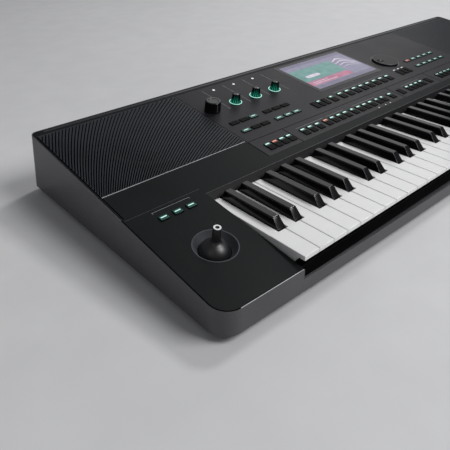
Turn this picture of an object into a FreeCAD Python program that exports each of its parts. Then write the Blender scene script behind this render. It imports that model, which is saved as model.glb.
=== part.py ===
import FreeCAD, Part
import math
import os

# Arranger keyboard with 61 keys. Millimetres, +Z up, the keys face -Y.
# The origin is under the middle of the body, on the plane the feet stand on.

# Body
cheek_width = 107.5
body_depth = 384.4
front_bow = 6.0
rear_lean = 12.0
foot_height = 9.0
foot_radius = 13.0
foot_inset = 38.0
front_height = 37.8
panel_angle = 7.8
front_corner_radius = 22.0
rear_corner_radius = 9.0
wall = 3.0
floor_thickness = 3.0
seam = 0.6
rim = 1.0
lap_gap = 0.1
deck_thickness = 4.0
rail_height = 24.8
tall_margin = 60.0

# Keys
octave_width = 164.5
white_per_octave = 7
octave_count = 5
key_gap = 0.9
key_setback = 0.4
bay_gap = 1.5
white_top = 50.3
white_thickness = 5.5
head_length = 48.0
black_start = 50.5
black_base_drop = 0.5
black_height = 10.6
black_base_width = 12.7
black_top_width = 9.6
black_front_slope = 9.0
black_rear_slope = 3.0
black_rear_gap = 1.0
black_edge_round = 1.0
key_total_length = 218.0
pivot_inset = 6.0
pivot_height = 39.3
rod_radius = 3.0
rod_clearance = 0.05
rod_overhang = 1.0
stem_width = 6.0
stem_bottom = 33.3
stem_start = 30.0
skirt_thickness = 1.5
skirt_bottom = 36.0
skirt_front = 8.0
skirt_slope = 6.5
skirt_gap = 8.0

# Key bed and the strips under the keys
bed_thickness = 2.0
bed_front = 10.0
bed_rear_gap = 8.0
bed_flange = 2.0
bed_flange_top = 28.0
bracket_thickness = 4.0
bracket_half = 7.0
bracket_rise = 1.5
felt_front = 40.0
felt_width = 20.0
felt_bed_top = 21.3
felt_top = 24.0
board_inset = 100.0
board_width = 48.0
board_rib = 4.0
board_base = 23.3
board_thickness = 1.6
rubber_base = 1.0
rubber_width = 18.0
dome_radius = 4.0
dome_top_radius = 2.6
dome_top = 29.2
spring_inset = 28.0
spring_radius = 2.0
spring_top = 31.7

# Fascia over the keys
fascia_front = 142.0
fascia_bottom = 51.1
fascia_top_front = 149.5
fascia_thickness = 2.5
cheek_wall = 2.5
cheek_wall_gap = 0.5

# Control panel, in distances along the sloping top
panel_width = 604.0
panel_front = 165.4
rear_band = 12.4
panel_thickness = 2.5
panel_clearance = 0.3
ledge = 4.0
groove_width = 1.0
groove_depth = 1.0
row_groove_share = 0.2017
strip_groove_shares = [0.1142, 0.5497, 0.7533]

# Buttons
cap_clearance = 0.3
cap_height = 1.2
flange_gap = 0.4
flange_thickness = 0.8
flange_lip = 0.8
press_travel = 1.0
board_gap = 0.9
tall_width = 11.0
tall_length = 16.5
narrow_width = 9.0
under_width = 12.5
under_length = 18.0
small_width = 16.0
small_length = 8.0
cheek_button_width = 12.0
cheek_button_length = 8.0
tall_row_share = 0.0839
under_row_share = 0.3109
nav_row_share = 0.3181
upper_row_shares = [0.4442, 0.3230]
style_shares = [0.0315, 0.0546, 0.0778, 0.1010]
long_row_shares = [0.1523, 0.1788, 0.2061, 0.2384, 0.2649, 0.2914, 0.3179,
                   0.3477, 0.3758, 0.4023, 0.4288, 0.4586, 0.4834, 0.5215]
voice_shares = [0.5728, 0.6126, 0.6374, 0.6623, 0.6871, 0.7202]
cluster_shares = [0.7881, 0.8113, 0.8344, 0.8576, 0.8808, 0.9040, 0.9272, 0.9503, 0.9735]
narrow_shares = [0.2848, 0.3063, 0.3278]
under_shares = [0.3593, 0.3985, 0.4310, 0.4636, 0.4961, 0.5286, 0.5611, 0.5937, 0.6262]
nav_shares = [0.6937, 0.7152, 0.7368]
upper_left_shares = [0.0356, 0.0679, 0.0993, 0.1490, 0.1821, 0.2136]
upper_right_shares = [0.8030, 0.8378, 0.8725, 0.9073, 0.9421]
cheek_button_shares = [0.3814, 0.5581, 0.7349]
cheek_button_row = 142.9

# Knobs, dial and their sensors
volume_share = 0.0331
volume_row_share = 0.6722
volume_radius = 12.5
volume_top_radius = 11.6
volume_height = 16.0
assign_shares = [0.1159, 0.1887, 0.2616]
assign_row_share = 0.6843
assign_radius = 6.5
assign_top_radius = 6.0
assign_height = 14.0
dial_share = 0.7318
dial_row_share = 0.556
dial_radius = 25.5
dial_height = 2.6
dimple_radius = 9.0
dimple_depth = 1.5
dimple_offset = 15.0
knob_lift = 0.6
shaft_radius = 3.0
shaft_clearance = 0.05
shaft_reach = 6.0
hole_clearance = 0.6
pot_side = 16.0
encoder_side = 12.5
dial_encoder_side = 20.0
pot_depth = 7.5
ring_outer = 10.3
ring_inner = 7.1
ring_height = 0.8

# Display
glass_share = 0.5108
glass_width = 181.0
glass_row_gap = 18.0
glass_rear_margin = 3.7
glass_thickness = 1.5
glass_ledge = 6.0
module_margin = 6.5
module_thickness = 5.0

# Boards under the panel and in the case
panel_board_boss = 3.0
boss_shares = [0.1260, 0.2230, 0.5480, 0.7545]
boss_row_share = 0.2017
post_radius = 4.0
standoff_height = 6.0
standoff_radius = 4.0
main_board_length = 260.0
main_board_width = 100.0
main_board_row_share = 0.80
amp_board_length = 120.0
amp_board_width = 80.0
board_spacing = 10.0
chip_height = 4.0
chip_side = 22.0
sink_height = 18.0
sink_width = 14.0
sink_fins = 5
sink_fin = 1.2

# Grilles and speakers
grille_inset = 3.5
grille_gap = 1.0
grille_front = 209.9
grille_thickness = 2.5
slot_count = 70
slot_width = 1.5
slot_border = 1.2
slot_start_angle = 35.7
slot_end_angle = 85.23
slot_bend = 15.6
slot_min_length = 8.0
slot_steps = 200
fan_x = 71.5
fan_y = 182.0
speaker_margin = 23.0
speaker_rim = 8.0
speaker_flange = 3.0
basket_share = 0.45
basket_wall = 2.0
basket_back_radius = 34.0
magnet_radius = 30.0
magnet_share = 0.21
cone_clearance = 0.3
cone_depth = 16.0
cone_neck = 14.0
cone_wall = 1.0

# Joystick
stick_share = 0.5377
stick_row = 77.0
bowl_radius = 24.5
bowl_rim = 1.0
bowl_flange = 1.6
bowl_flange_height = 0.8
bowl_depth = 8.0
bowl_seat = 0.3
bowl_skirt = 2.5
pivot_depth = 12.0
dome_sphere = 18.0
dome_wall = 2.0
dome_skirt = 3.0
stick_base_radius = 4.9
stick_top_radius = 4.5
stick_height = 24.0
stick_core = 3.5
base_depth = 27.0
base_thickness = 2.0
arm_inner = 8.3
arm_outer = 12.0
arm_half = 4.0
arm_top = 3.0
gimbal_half_x = 8.0
gimbal_half_y = 7.0
gimbal_half_z = 3.0
gimbal_hole_x = 5.5
gimbal_hole_y = 5.0
pin_radius = 1.5
pin_clearance = 0.05
pin_play = 0.2

# Rear sockets, power switch, screws
jack_plate_length = 190.0
jack_plate_height = 22.0
jack_plate_share = 0.62
jack_plate_rise = 26.0
jack_flange = 3.0
jack_flange_thickness = 2.0
jack_body_depth = 14.0
jack_body_side = 13.0
jack_bore = 3.25
socket_depth = 3.0
jack_shares = [0.30, 0.41, 0.52, 0.63]
inlet_share = 0.15
inlet_width = 9.0
inlet_height = 9.0
usb_shares = [0.76, 0.86]
usb_width = 12.0
usb_height = 5.0
switch_share = 0.05
switch_width = 8.0
switch_height = 12.0
switch_flange = 1.0
switch_gap = 0.4
screw_radius = 1.5
screw_head_radius = 3.0
screw_head = 1.6
screw_reach = 12.0
screw_hole_clearance = 0.2
screw_side = 32.0
screw_front = 34.6
screw_mid_shares = [0.30, 0.78]

V = FreeCAD.Vector
key_span = octave_width * octave_count + octave_width / white_per_octave
body_length = key_span + 2 * bay_gap + 2 * cheek_width
half_length = body_length / 2.0
half_depth = body_depth / 2.0
slope = math.radians(panel_angle)
front_y = -half_depth
rear_y = half_depth
floor_top = foot_height + floor_thickness
rear_height = front_height + body_depth * math.tan(slope)
white_pitch = octave_width / white_per_octave
tail_pitch = octave_width / 12.0
key_left = -key_span / 2.0
key_front = front_y + key_setback
bay_half = key_span / 2.0 + bay_gap
pivot_y = key_front + key_total_length - pivot_inset
panel_left, panel_right = -panel_width / 2.0, panel_width / 2.0
panel_rear = body_depth - rear_band
panel_front_v = panel_front / math.cos(slope)
panel_rear_v = panel_rear / math.cos(slope)
panel_depth_v = panel_rear_v - panel_front_v
grille_front_v = grille_front / math.cos(slope)
glass_front_v = panel_front_v + under_row_share * panel_depth_v + under_length / 2 + glass_row_gap
glass_length = panel_rear_v - glass_rear_margin - glass_front_v
module_width = glass_width - 2 * module_margin
module_length = glass_length - 2 * module_margin
board_front = key_total_length - board_inset
big = body_length


def box(x0, x1, y0, y1, z0, z1):
    """A box between two corners."""
    return Part.makeBox(x1 - x0, y1 - y0, z1 - z0, V(x0, y0, z0))


def cylinder(radius, x, y, z0, z1):
    """An upright cylinder from z0 to z1."""
    return Part.makeCylinder(radius, z1 - z0, V(x, y, z0))


def pin_x(radius, x0, x1, y, z):
    """A cylinder along X."""
    return Part.makeCylinder(radius, x1 - x0, V(x0, y, z), V(1, 0, 0))


def pin_y(radius, x, y0, y1, z):
    """A cylinder along Y."""
    return Part.makeCylinder(radius, y1 - y0, V(x, y0, z), V(0, 1, 0))


def fuse(shapes):
    """One solid from touching pieces."""
    result = shapes[0]
    if len(shapes) > 1:
        result = result.fuse(shapes[1:])
    return result.removeSplitter()


def on_panel(shape):
    """Moves a shape drawn flat (x, along the slope, above it) onto the sloping top."""
    moved = shape.copy()
    moved.rotate(V(0, 0, 0), V(1, 0, 0), panel_angle)
    moved.translate(V(0, front_y, front_height))
    return moved


def prism_x(points, x0, x1):
    """A profile of (y, z) points drawn out along X."""
    loop = [V(x0, y, z) for y, z in points]
    face = Part.Face(Part.makePolygon(loop + [loop[0]]))
    return face.extrude(V(x1 - x0, 0, 0))


def revolve(points):
    """A profile of (radius, z) points turned about the Z axis."""
    loop = [V(r, 0, z) for r, z in points]
    face = Part.Face(Part.makePolygon(loop + [loop[0]]))
    return face.revolve(V(0, 0, 0), V(0, 0, 1), 360)


def rounded_plan(inset, z, lean=0.0):
    """The body's outline from above, moved inwards, its front edge bowed, as a face at height z."""
    x, y0, y1 = half_length - inset, front_y + inset, rear_y + lean - inset
    rf, rr = front_corner_radius - inset, rear_corner_radius - inset
    c = math.sqrt(0.5)
    pts = [V(-x + rf, y0, z), V(x - rf, y0, z), V(x, y0 + rf, z), V(x, y1 - rr, z),
           V(x - rr, y1, z), V(-x + rr, y1, z), V(-x, y1 - rr, z), V(-x, y0 + rf, z)]
    mids = [V(x - rf + rf * c, y0 + rf - rf * c, z), V(x - rr + rr * c, y1 - rr + rr * c, z),
            V(-x + rr - rr * c, y1 - rr + rr * c, z), V(-x + rf - rf * c, y0 + rf - rf * c, z)]
    edges = []
    for i in range(4):
        a, b, n = pts[2 * i], pts[2 * i + 1], pts[(2 * i + 2) % 8]
        side = Part.LineSegment(a, b) if i else Part.Arc(a, V(0, y0 - front_bow, z), b)
        edges.append(side.toShape())
        edges.append(Part.Arc(b, mids[i], n).toShape())
    return Part.Face(Part.Wire(edges))


def column(inset, z0):
    """The body's outline drawn up past the sloping top."""
    return rounded_plan(inset, z0).extrude(V(0, 0, rear_height + tall_margin - z0))


def leaning(inset, z0):
    """The same outline drawn up while its rear edge comes forward, until the top's rear edge."""
    faces = []
    for z in (z0, rear_height + tall_margin):
        lean = rear_lean * (rear_height - z) / (rear_height - foot_height)
        faces.append(rounded_plan(inset, z, lean).OuterWire)
    return Part.makeLoft(faces, True, True)


def slab(w0, w1):
    """Everything between two heights over the sloping top."""
    return on_panel(box(-big, big, -big, big, w0, w1))


def panel_x(share):
    return panel_left + share * panel_width


def panel_v(share):
    return panel_front_v + share * panel_depth_v


def body_x(share):
    return -half_length + share * body_length


def cheek_x(share):
    return -half_length + share * cheek_width


def cap(x, v, width, length, under):
    """A push button: a cap with a wider flange below a panel of the given thickness."""
    low = -under - flange_gap
    top = box(x - width / 2, x + width / 2, v - length / 2, v + length / 2, low, cap_height)
    w, l = width / 2 + flange_lip, length / 2 + flange_lip
    return fuse([top, box(x - w, x + w, v - l, v + l, low - flange_thickness, low)])


def cap_hole(x, v, width, length):
    w, l = width / 2 + cap_clearance, length / 2 + cap_clearance
    return box(x - w, x + w, v - l, v + l, -big, big)


def grille_span(side):
    """The two ends of a grille along X, on the left (-1) or the right (1)."""
    outer = half_length - grille_inset
    inner = abs(panel_left if side < 0 else panel_right) + grille_gap
    return (-outer, -inner) if side < 0 else (inner, outer)


def button_rows():
    """Every panel button: name of its node, place and size."""
    rows = []
    tall_v = panel_v(tall_row_share)
    for name, shares in (("buttons_style", style_shares), ("buttons_long_row", long_row_shares),
                         ("buttons_voice", voice_shares), ("buttons_right_cluster", cluster_shares)):
        rows += [(name, panel_x(s), tall_v, tall_width, tall_length) for s in shares]
    under_v = panel_v(under_row_share)
    rows += [("buttons_under_screen", panel_x(s), under_v, narrow_width, under_length)
             for s in narrow_shares]
    rows += [("buttons_under_screen", panel_x(s), under_v, under_width, under_length)
             for s in under_shares]
    rows += [("buttons_navigation", panel_x(s), panel_v(nav_row_share), narrow_width, under_length)
             for s in nav_shares]
    for row in upper_row_shares:
        rows += [("buttons_upper_left", panel_x(s), panel_v(row), small_width, small_length)
                 for s in upper_left_shares]
        rows += [("buttons_upper_right", panel_x(s), panel_v(row), small_width, small_length)
                 for s in upper_right_shares]
    return rows


def cheek_buttons():
    v = cheek_button_row / math.cos(slope)
    return [(cheek_x(s), v) for s in cheek_button_shares]


def turning_parts():
    """Every knob: name, place, sensor side and hole radius."""
    hole = shaft_radius + hole_clearance
    parts = [("volume_knob", panel_x(volume_share), panel_v(volume_row_share), pot_side, hole)]
    for i, s in enumerate(assign_shares):
        parts.append((f"assign_knob_{i + 1}", panel_x(s), panel_v(assign_row_share), encoder_side, hole))
    parts.append(("data_dial", panel_x(dial_share), panel_v(dial_row_share), dial_encoder_side, hole))
    return parts


def screw_places():
    """Places of the posts and the screws that hold the two halves of the case."""
    side, rear = half_length - screw_side, rear_y - (wall + seam + rear_band) / 2
    places = [(sx * side, y) for sx in (-1, 1) for y in (front_y + screw_front, rear)]
    return places + [(body_x(share), rear) for share in screw_mid_shares]


def main_board_box():
    y = front_y + main_board_row_share * body_depth
    return (-main_board_length / 2, main_board_length / 2, y - main_board_width / 2, y + main_board_width / 2)


def amp_board_box():
    x = -main_board_length / 2 - board_spacing - amp_board_length / 2
    y = front_y + main_board_row_share * body_depth
    return (x - amp_board_length / 2, x + amp_board_length / 2,
            y - amp_board_width / 2, y + amp_board_width / 2)


def standoff_places(bounds):
    x0, x1, y0, y1 = bounds
    r = standoff_radius
    return [(x, y) for x in (x0 + r, x1 - r) for y in (y0 + r, y1 - r)]


def bottom_case():
    """The grey tray: floor, walls up to the sloping top, low rail under the keys."""
    x0, x1, z0, z1 = jack_window()
    side = jack_flange + wall
    hollow = leaning(wall, floor_top).cut(box(x0 - side, x1 + side, 0.0, big, 0.0, big))
    body = leaning(0.0, foot_height).cut(column(wall, floor_top)).cut(hollow).cut(slab(0.0, big))
    body = body.cut(column(rim, floor_top).common(slab(-deck_thickness - lap_gap, big)))
    bay = box(-bay_half, bay_half, front_y - wall - front_bow, front_y + 2 * wall, rail_height, big)
    body = body.cut(bay)
    body = body.cut(box(x0, x1, rear_y - 2 * wall, rear_y + rear_lean + wall, z0, z1))
    posts = []
    for bounds in (main_board_box(), amp_board_box()):
        posts += [cylinder(standoff_radius, x, y, floor_top, floor_top + standoff_height)
                  for x, y in standoff_places(bounds)]
    body = fuse([body] + posts)
    holes = []
    for x, y in screw_places():
        holes.append(cylinder(screw_radius + screw_hole_clearance, x, y, 0.0, floor_top))
        holes.append(cylinder(screw_head_radius + screw_hole_clearance, x, y, 0.0, foot_height + screw_head))
    return body.cut(holes)


def jack_window():
    x = body_x(jack_plate_share)
    return (x - jack_plate_length / 2, x + jack_plate_length / 2,
            jack_plate_rise, jack_plate_rise + jack_plate_height)


def top_case():
    """The black top: sloping deck, cheeks beside the keys, fascia and posts."""
    deck = column(rim + seam, floor_top).common(slab(-deck_thickness, 0.0))
    bay = box(-bay_half, bay_half, front_y - wall - front_bow, key_front + fascia_top_front, 0.0, big)
    deck = deck.cut(bay)
    top = front_height + (fascia_top_front + key_setback) * math.tan(slope)
    y0, y1 = key_front + fascia_front, key_front + fascia_top_front
    t = fascia_thickness
    drop = deck_thickness / math.cos(slope)
    fascia = prism_x([(y0, fascia_bottom), (y1, top), (y1 + t, top + t * math.tan(slope) - drop / 2),
                      (y0 + t, fascia_bottom)], -bay_half, bay_half)
    pieces = [deck, fascia]
    for side in (-1, 1):
        x0, x1 = sorted((side * bay_half, side * (bay_half + cheek_wall)))
        cheek = box(x0, x1, front_y + wall + seam, y1, rail_height + cheek_wall_gap, big)
        pieces.append(cheek.cut(slab(-deck_thickness / 2, big)))
    for x, y in screw_places():
        pieces.append(cylinder(post_radius, x, y, floor_top, big).cut(slab(-deck_thickness / 2, big)))
    body = fuse(pieces)
    cuts = []
    c = panel_clearance
    cuts.append(box(panel_left, panel_right, panel_front_v, panel_rear_v, -panel_thickness, big))
    cuts.append(box(panel_left + ledge, panel_right - ledge, panel_front_v + ledge, panel_rear_v - ledge,
                    -2 * deck_thickness, big))
    for side in (-1, 1):
        g0, g1 = grille_span(side)
        cuts.append(box(g0 - c, g1 + c, grille_front_v, panel_rear_v, -grille_thickness, big))
        cuts.append(box(g0 + ledge, g1 - ledge, grille_front_v + ledge, panel_rear_v - ledge,
                        -2 * deck_thickness, big))
    for x, v in cheek_buttons():
        cuts.append(cap_hole(x, v, cheek_button_width, cheek_button_length))
    sx, sv = cheek_x(stick_share), stick_row / math.cos(slope)
    cuts.append(cylinder(bowl_radius + panel_clearance, sx, sv, -2 * deck_thickness, big))
    for side in (-1, 1):
        x = side * (half_length - grille_inset - groove_width / 2)
        cuts.append(box(x - groove_width / 2, x + groove_width / 2, panel_front_v, panel_rear_v,
                        -groove_depth, big))
    body = body.cut([on_panel(s) for s in cuts])
    pilots = [cylinder(screw_radius, x, y, 0.0, foot_height + screw_head + screw_reach)
              for x, y in screw_places()]
    return body.cut(pilots)


def control_panel():
    """The plate with the buttons, knobs and screen, resting on the ledge of the top."""
    c = panel_clearance
    plate = box(panel_left + c, panel_right - c, panel_front_v + c, panel_rear_v - c, -panel_thickness, 0.0)
    bosses = [cylinder(panel_board_boss, panel_x(s), panel_v(boss_row_share), board_level(), -panel_thickness)
              for s in boss_shares]
    plate = fuse([plate] + bosses)
    cuts = [cap_hole(x, v, w, l) for name, x, v, w, l in button_rows()]
    cuts += [cylinder(hole, x, v, -big, big) for name, x, v, side, hole in turning_parts()]
    x, v = panel_x(glass_share), glass_front_v + glass_length / 2
    w, l = glass_width / 2 + c, glass_length / 2 + c
    cuts.append(box(x - w, x + w, v - l, v + l, -glass_thickness, big))
    w, l = glass_width / 2 - glass_ledge, glass_length / 2 - glass_ledge
    cuts.append(box(x - w, x + w, v - l, v + l, -big, big))
    g, row = groove_width / 2, panel_v(row_groove_share)
    cuts.append(box(panel_left, panel_right, row - g, row + g, -groove_depth, big))
    for s in strip_groove_shares:
        cuts.append(box(panel_x(s) - g, panel_x(s) + g, panel_front_v, row, -groove_depth, big))
    return on_panel(plate.cut(cuts))


def board_level():
    """Height of the panel board's top, below the buttons at the end of their travel."""
    return -(panel_thickness + flange_gap + flange_thickness + press_travel + board_gap)


def panel_board():
    """The circuit board under the buttons, hung from the panel's bosses."""
    top = board_level()
    x0, x1 = panel_left + ledge + seam, panel_right - ledge - seam
    v0, v1 = panel_front_v + ledge + seam, panel_rear_v - ledge - seam
    board = box(x0, x1, v0, v1, top - board_thickness, top)
    cuts = []
    for name, x, v, side, hole in turning_parts():
        s = side / 2 + seam
        cuts.append(box(x - s, x + s, v - s, v + s, -big, big))
    x, v = panel_x(glass_share), glass_front_v + glass_length / 2
    w, l = module_width / 2 + seam, module_length / 2 + seam
    cuts.append(box(x - w, x + w, v - l, v + l, -big, big))
    return on_panel(board.cut(cuts))


def potentiometers():
    """Sensors under the knobs and the dial, with bores that guide the knob shafts."""
    bodies = []
    for name, x, v, side, hole in turning_parts():
        s = side / 2
        body = box(x - s, x + s, v - s, v + s, -panel_thickness - pot_depth, -panel_thickness)
        bore = cylinder(shaft_radius + shaft_clearance, x, v, -big, big)
        bodies.append(on_panel(body.cut(bore)))
    return bodies


def knob(x, v, radius, top_radius, height):
    """A tapered knob with its shaft down into the sensor."""
    head = Part.makeCone(radius, top_radius, height, V(x, v, knob_lift))
    shaft = cylinder(shaft_radius, x, v, -panel_thickness - shaft_reach, knob_lift + ring_height)
    return fuse([head, shaft])


def knobs():
    result = {}
    for name, x, v, side, hole in turning_parts():
        if name == "volume_knob":
            shape = knob(x, v, volume_radius, volume_top_radius, volume_height)
        elif name == "data_dial":
            shape = knob(x, v, dial_radius, dial_radius - ring_height, dial_height)
            rise = knob_lift + dial_height + dimple_radius - dimple_depth
            shape = shape.cut(Part.makeSphere(dimple_radius, V(x - dimple_offset, v, rise)))
        else:
            shape = knob(x, v, assign_radius, assign_top_radius, assign_height)
        result[name] = on_panel(shape)
    return result


def knob_light_rings():
    rings = []
    for name, x, v, side, hole in turning_parts():
        if name.startswith("assign"):
            ring = cylinder(ring_outer, x, v, 0.0, ring_height).cut(cylinder(ring_inner, x, v, -big, big))
            rings.append(on_panel(ring))
    return rings


def display_glass():
    x, v = panel_x(glass_share), glass_front_v + glass_length / 2
    w, l = glass_width / 2, glass_length / 2
    return on_panel(box(x - w, x + w, v - l, v + l, -glass_thickness, 0.0))


def display_panel():
    """The screen module, glued to the back of the glass."""
    x, v = panel_x(glass_share), glass_front_v + glass_length / 2
    w, l = module_width / 2, module_length / 2
    return on_panel(box(x - w, x + w, v - l, v + l, -glass_thickness - module_thickness, -glass_thickness))


def grille(side):
    """A speaker grille: a plate with a fan of gently bent slots."""
    g0, g1 = grille_span(side)
    c = panel_clearance
    v0, v1 = grille_front_v + c, panel_rear_v - c
    plate = box(g0, g1, v0, v1, -grille_thickness, 0.0)
    width, length = g1 - g0, v1 - v0
    reach = math.hypot(width + fan_x, length + fan_y)
    slots = []
    for i in range(slot_count):
        share = (i + 0.5) / slot_count
        base = slot_start_angle + share * (slot_end_angle - slot_start_angle)

        def place(r):
            angle = math.radians(base + slot_bend * (0.5 - r / reach))
            return r * math.cos(angle) - fan_x, r * math.sin(angle) - fan_y

        inside = []
        for k in range(slot_steps + 1):
            r = reach * k / slot_steps
            px, py = place(r)
            ok = slot_border < px < width - slot_border and slot_border < py < length - slot_border
            if ok:
                inside.append(r)
        if not inside or inside[-1] - inside[0] < slot_min_length:
            continue
        r0, r1 = inside[0], inside[-1]
        rows = []
        for r in (r0, (r0 + r1) / 2, r1):
            px, py = place(r)
            qx, qy = place(r + slot_width)
            n = math.hypot(qx - px, qy - py)
            ox, oy = -(qy - py) / n * slot_width / 2, (qx - px) / n * slot_width / 2
            rows.append((px + ox, py + oy, px - ox, py - oy))
        sign, start = (1.0, g0) if side < 0 else (-1.0, g1)

        def at(px, py):
            return V(start + sign * px, v0 + py, -2 * grille_thickness)

        a, m, b = rows
        wire = Part.Wire([Part.Arc(at(a[0], a[1]), at(m[0], m[1]), at(b[0], b[1])).toShape(),
                          Part.LineSegment(at(b[0], b[1]), at(b[2], b[3])).toShape(),
                          Part.Arc(at(b[2], b[3]), at(m[2], m[3]), at(a[2], a[3])).toShape(),
                          Part.LineSegment(at(a[2], a[3]), at(a[0], a[1])).toShape()])
        slots.append(Part.Face(wire).extrude(V(0, 0, 4 * grille_thickness)))
    return on_panel(plate.cut(Part.makeCompound(slots)))


def speaker_place(side):
    g0, g1 = grille_span(side)
    return (g0 + g1) / 2, (grille_front_v + panel_rear_v) / 2


def speakers():
    """Baskets with their magnets, and the cones inside them."""
    baskets, cones = [], []
    t, top = basket_wall, -grille_thickness
    speaker_radius = (panel_rear_v - grille_front_v) / 2 - speaker_margin
    speaker_hole = speaker_radius - speaker_rim
    edge = (panel_rear_v + grille_front_v) / 2 - speaker_radius
    room = front_height + edge * math.sin(slope) - floor_top
    magnet_depth = room * magnet_share
    low, neck = top - speaker_flange, top - speaker_flange - room * basket_share
    for side in (-1, 1):
        x, v = speaker_place(side)
        basket = revolve([(speaker_hole, top), (speaker_radius, top), (speaker_radius, low),
                          (speaker_hole + t, low), (basket_back_radius, neck), (magnet_radius, neck),
                          (magnet_radius, neck - magnet_depth), (cone_neck / 2, neck - magnet_depth),
                          (cone_neck / 2, neck + t), (basket_back_radius - t, neck + t),
                          (speaker_hole, low)])
        deep, rim = low - cone_depth, speaker_hole - cone_clearance
        cone = revolve([(rim, low + cone_wall), (rim, low),
                        (cone_neck, deep), (0.0, deep), (0.0, deep + cone_wall),
                        (cone_neck, deep + cone_wall), (rim - t, low + cone_wall)])
        for shape, group in ((basket, baskets), (cone, cones)):
            shape.translate(V(x, v, 0))
            group.append(on_panel(shape))
    return baskets, cones


def white_key(octave, index, last):
    """A white key: wide head, narrow tail between the black keys, side skirts, stem and eye."""
    left = key_left + octave * octave_width
    gap = key_gap / 2
    h0, h1 = left + index * white_pitch + gap, left + (index + 1) * white_pitch - gap
    slot = [0, 2, 4, 5, 7, 9, 11][index]
    t0, t1 = left + slot * tail_pitch + gap, left + (slot + 1) * tail_pitch - gap
    if index == 2 or last:
        t1 = h1
    if index == 3 or last:
        t0 = h0
    low = white_top - white_thickness
    head = box(h0, h1, key_front, key_front + head_length, low, white_top)
    tail = box(t0, t1, key_front + head_length, key_front + key_total_length, low, white_top)
    y1, y2 = key_front + head_length, key_front + board_front - skirt_gap
    y0 = key_front + skirt_front
    side = [(y0, low), (y0 + skirt_slope, skirt_bottom), (y1, skirt_bottom), (y1, low)]
    s = skirt_thickness
    skirts = [prism_x(side, h0, h0 + s), prism_x(side, h1 - s, h1)]
    skirts += [box(x, x + s, y1, y2, skirt_bottom, low) for x in (t0, t1 - s)]
    return finish_key([head, tail] + skirts, left + (slot + 0.5) * tail_pitch, stem_start)


def finish_key(pieces, centre, start):
    """Adds the stem and the eye round the pivot rod."""
    low = white_top - white_thickness
    s = stem_width / 2
    stem = box(centre - s, centre + s, key_front + start, key_front + key_total_length, stem_bottom, low)
    body = fuse(pieces + [stem])
    bore = pin_x(rod_radius + rod_clearance, centre - 2 * s, centre + 2 * s, pivot_y, pivot_height)
    return body.cut(bore)


def black_key(octave, slot):
    """A black key: a block with sloping sides over a tail under the fascia."""
    centre = key_left + octave * octave_width + (slot + 0.5) * tail_pitch
    low, base = white_top - white_thickness, white_top - black_base_drop
    top = white_top + black_height
    y0 = key_front + black_start
    y1 = key_front + fascia_front - black_rear_gap

    def ring(half, a, b, z):
        pts = [V(centre - half, a, z), V(centre + half, a, z), V(centre + half, b, z), V(centre - half, b, z)]
        return Part.makePolygon(pts + [pts[0]])

    a, b = y0 + black_front_slope, y1 - black_rear_slope
    rings = [ring(black_base_width / 2, y0, y1, base), ring(black_top_width / 2, a, b, top)]
    block = Part.makeLoft(rings, True)
    edges = [e for e in block.Edges if min(v.Z for v in e.Vertexes) > base + black_height / 2]
    block = block.makeFillet(black_edge_round, edges)
    w = black_base_width / 2
    tail = box(centre - w, centre + w, y0, key_front + key_total_length, low, base)
    return finish_key([block, tail], centre, black_start)


def key_nodes():
    """Twelve keys of the lowest octave on their own, the other octaves as groups."""
    nodes = {}
    white = {0: 0, 2: 1, 4: 2, 5: 3, 7: 4, 9: 5, 11: 6}
    names = ["c", "c_sharp", "d", "d_sharp", "e", "f", "f_sharp", "g", "g_sharp", "a", "a_sharp", "b"]
    for octave in range(octave_count):
        for slot in range(12):
            key = white_key(octave, white[slot], False) if slot in white else black_key(octave, slot)
            name = f"key_{names[slot]}" if octave == 0 else f"keys_octave_{octave + 1}"
            nodes.setdefault(name, []).append(key)
    nodes[f"keys_octave_{octave_count}"].append(white_key(octave_count, 0, True))
    return nodes


def key_centres():
    places = [key_left + (i + 0.5) * tail_pitch for i in range(12 * octave_count)]
    return places + [key_left + octave_count * octave_width + tail_pitch / 2]


def key_bed():
    """The chassis under the keys, with ribs for the strips and brackets for the rod."""
    top = floor_top + bed_thickness
    x0, x1 = key_left - rod_overhang, -key_left + rod_overhang
    front, felt = key_front + bed_front, key_front + felt_front
    pieces = [box(x0, x1, front, key_front + key_total_length + bed_rear_gap, floor_top, top),
              box(x0, x1, front, front + bed_flange, floor_top, bed_flange_top),
              box(x0, x1, felt, felt + felt_width, floor_top, felt_bed_top)]
    for y in (board_front, board_front + board_width - board_rib):
        pieces.append(box(x0, x1, key_front + y, key_front + y + board_rib, floor_top, board_base))
    h = bracket_thickness / 2
    for x in [key_left + i * octave_width for i in range(octave_count + 1)] + [-key_left]:
        pieces.append(box(max(x - h, x0), min(x + h, x1), pivot_y - bracket_half, pivot_y + bracket_half,
                          floor_top, pivot_height + rod_radius + bracket_rise))
    bed = fuse(pieces)
    return bed.cut(pin_x(rod_radius, x0 - wall, x1 + wall, pivot_y, pivot_height))


def key_pivot_rod():
    return pin_x(rod_radius, key_left - rod_overhang, -key_left + rod_overhang, pivot_y, pivot_height)


def key_strips():
    """Felt, contact board, rubber domes and springs under the keys."""
    x0, x1 = key_left, -key_left
    felt = box(x0, x1, key_front + felt_front, key_front + felt_front + felt_width, felt_bed_top, felt_top)
    y0 = key_front + board_front
    top = board_base + board_thickness
    board = box(x0, x1, y0, y0 + board_width, board_base, top)
    mid = y0 + board_width / 2
    strip = box(x0, x1, mid - rubber_width / 2, mid + rubber_width / 2, top, top + rubber_base)
    foot = top + rubber_base
    domes = [Part.makeCone(dome_radius, dome_top_radius, dome_top - foot, V(x, mid, foot))
             for x in key_centres()]
    bed_top = floor_top + bed_thickness
    springs = [cylinder(spring_radius, x, key_front + key_total_length - spring_inset, bed_top, spring_top)
               for x in key_centres()]
    return felt, board, fuse([strip] + domes), springs


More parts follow.
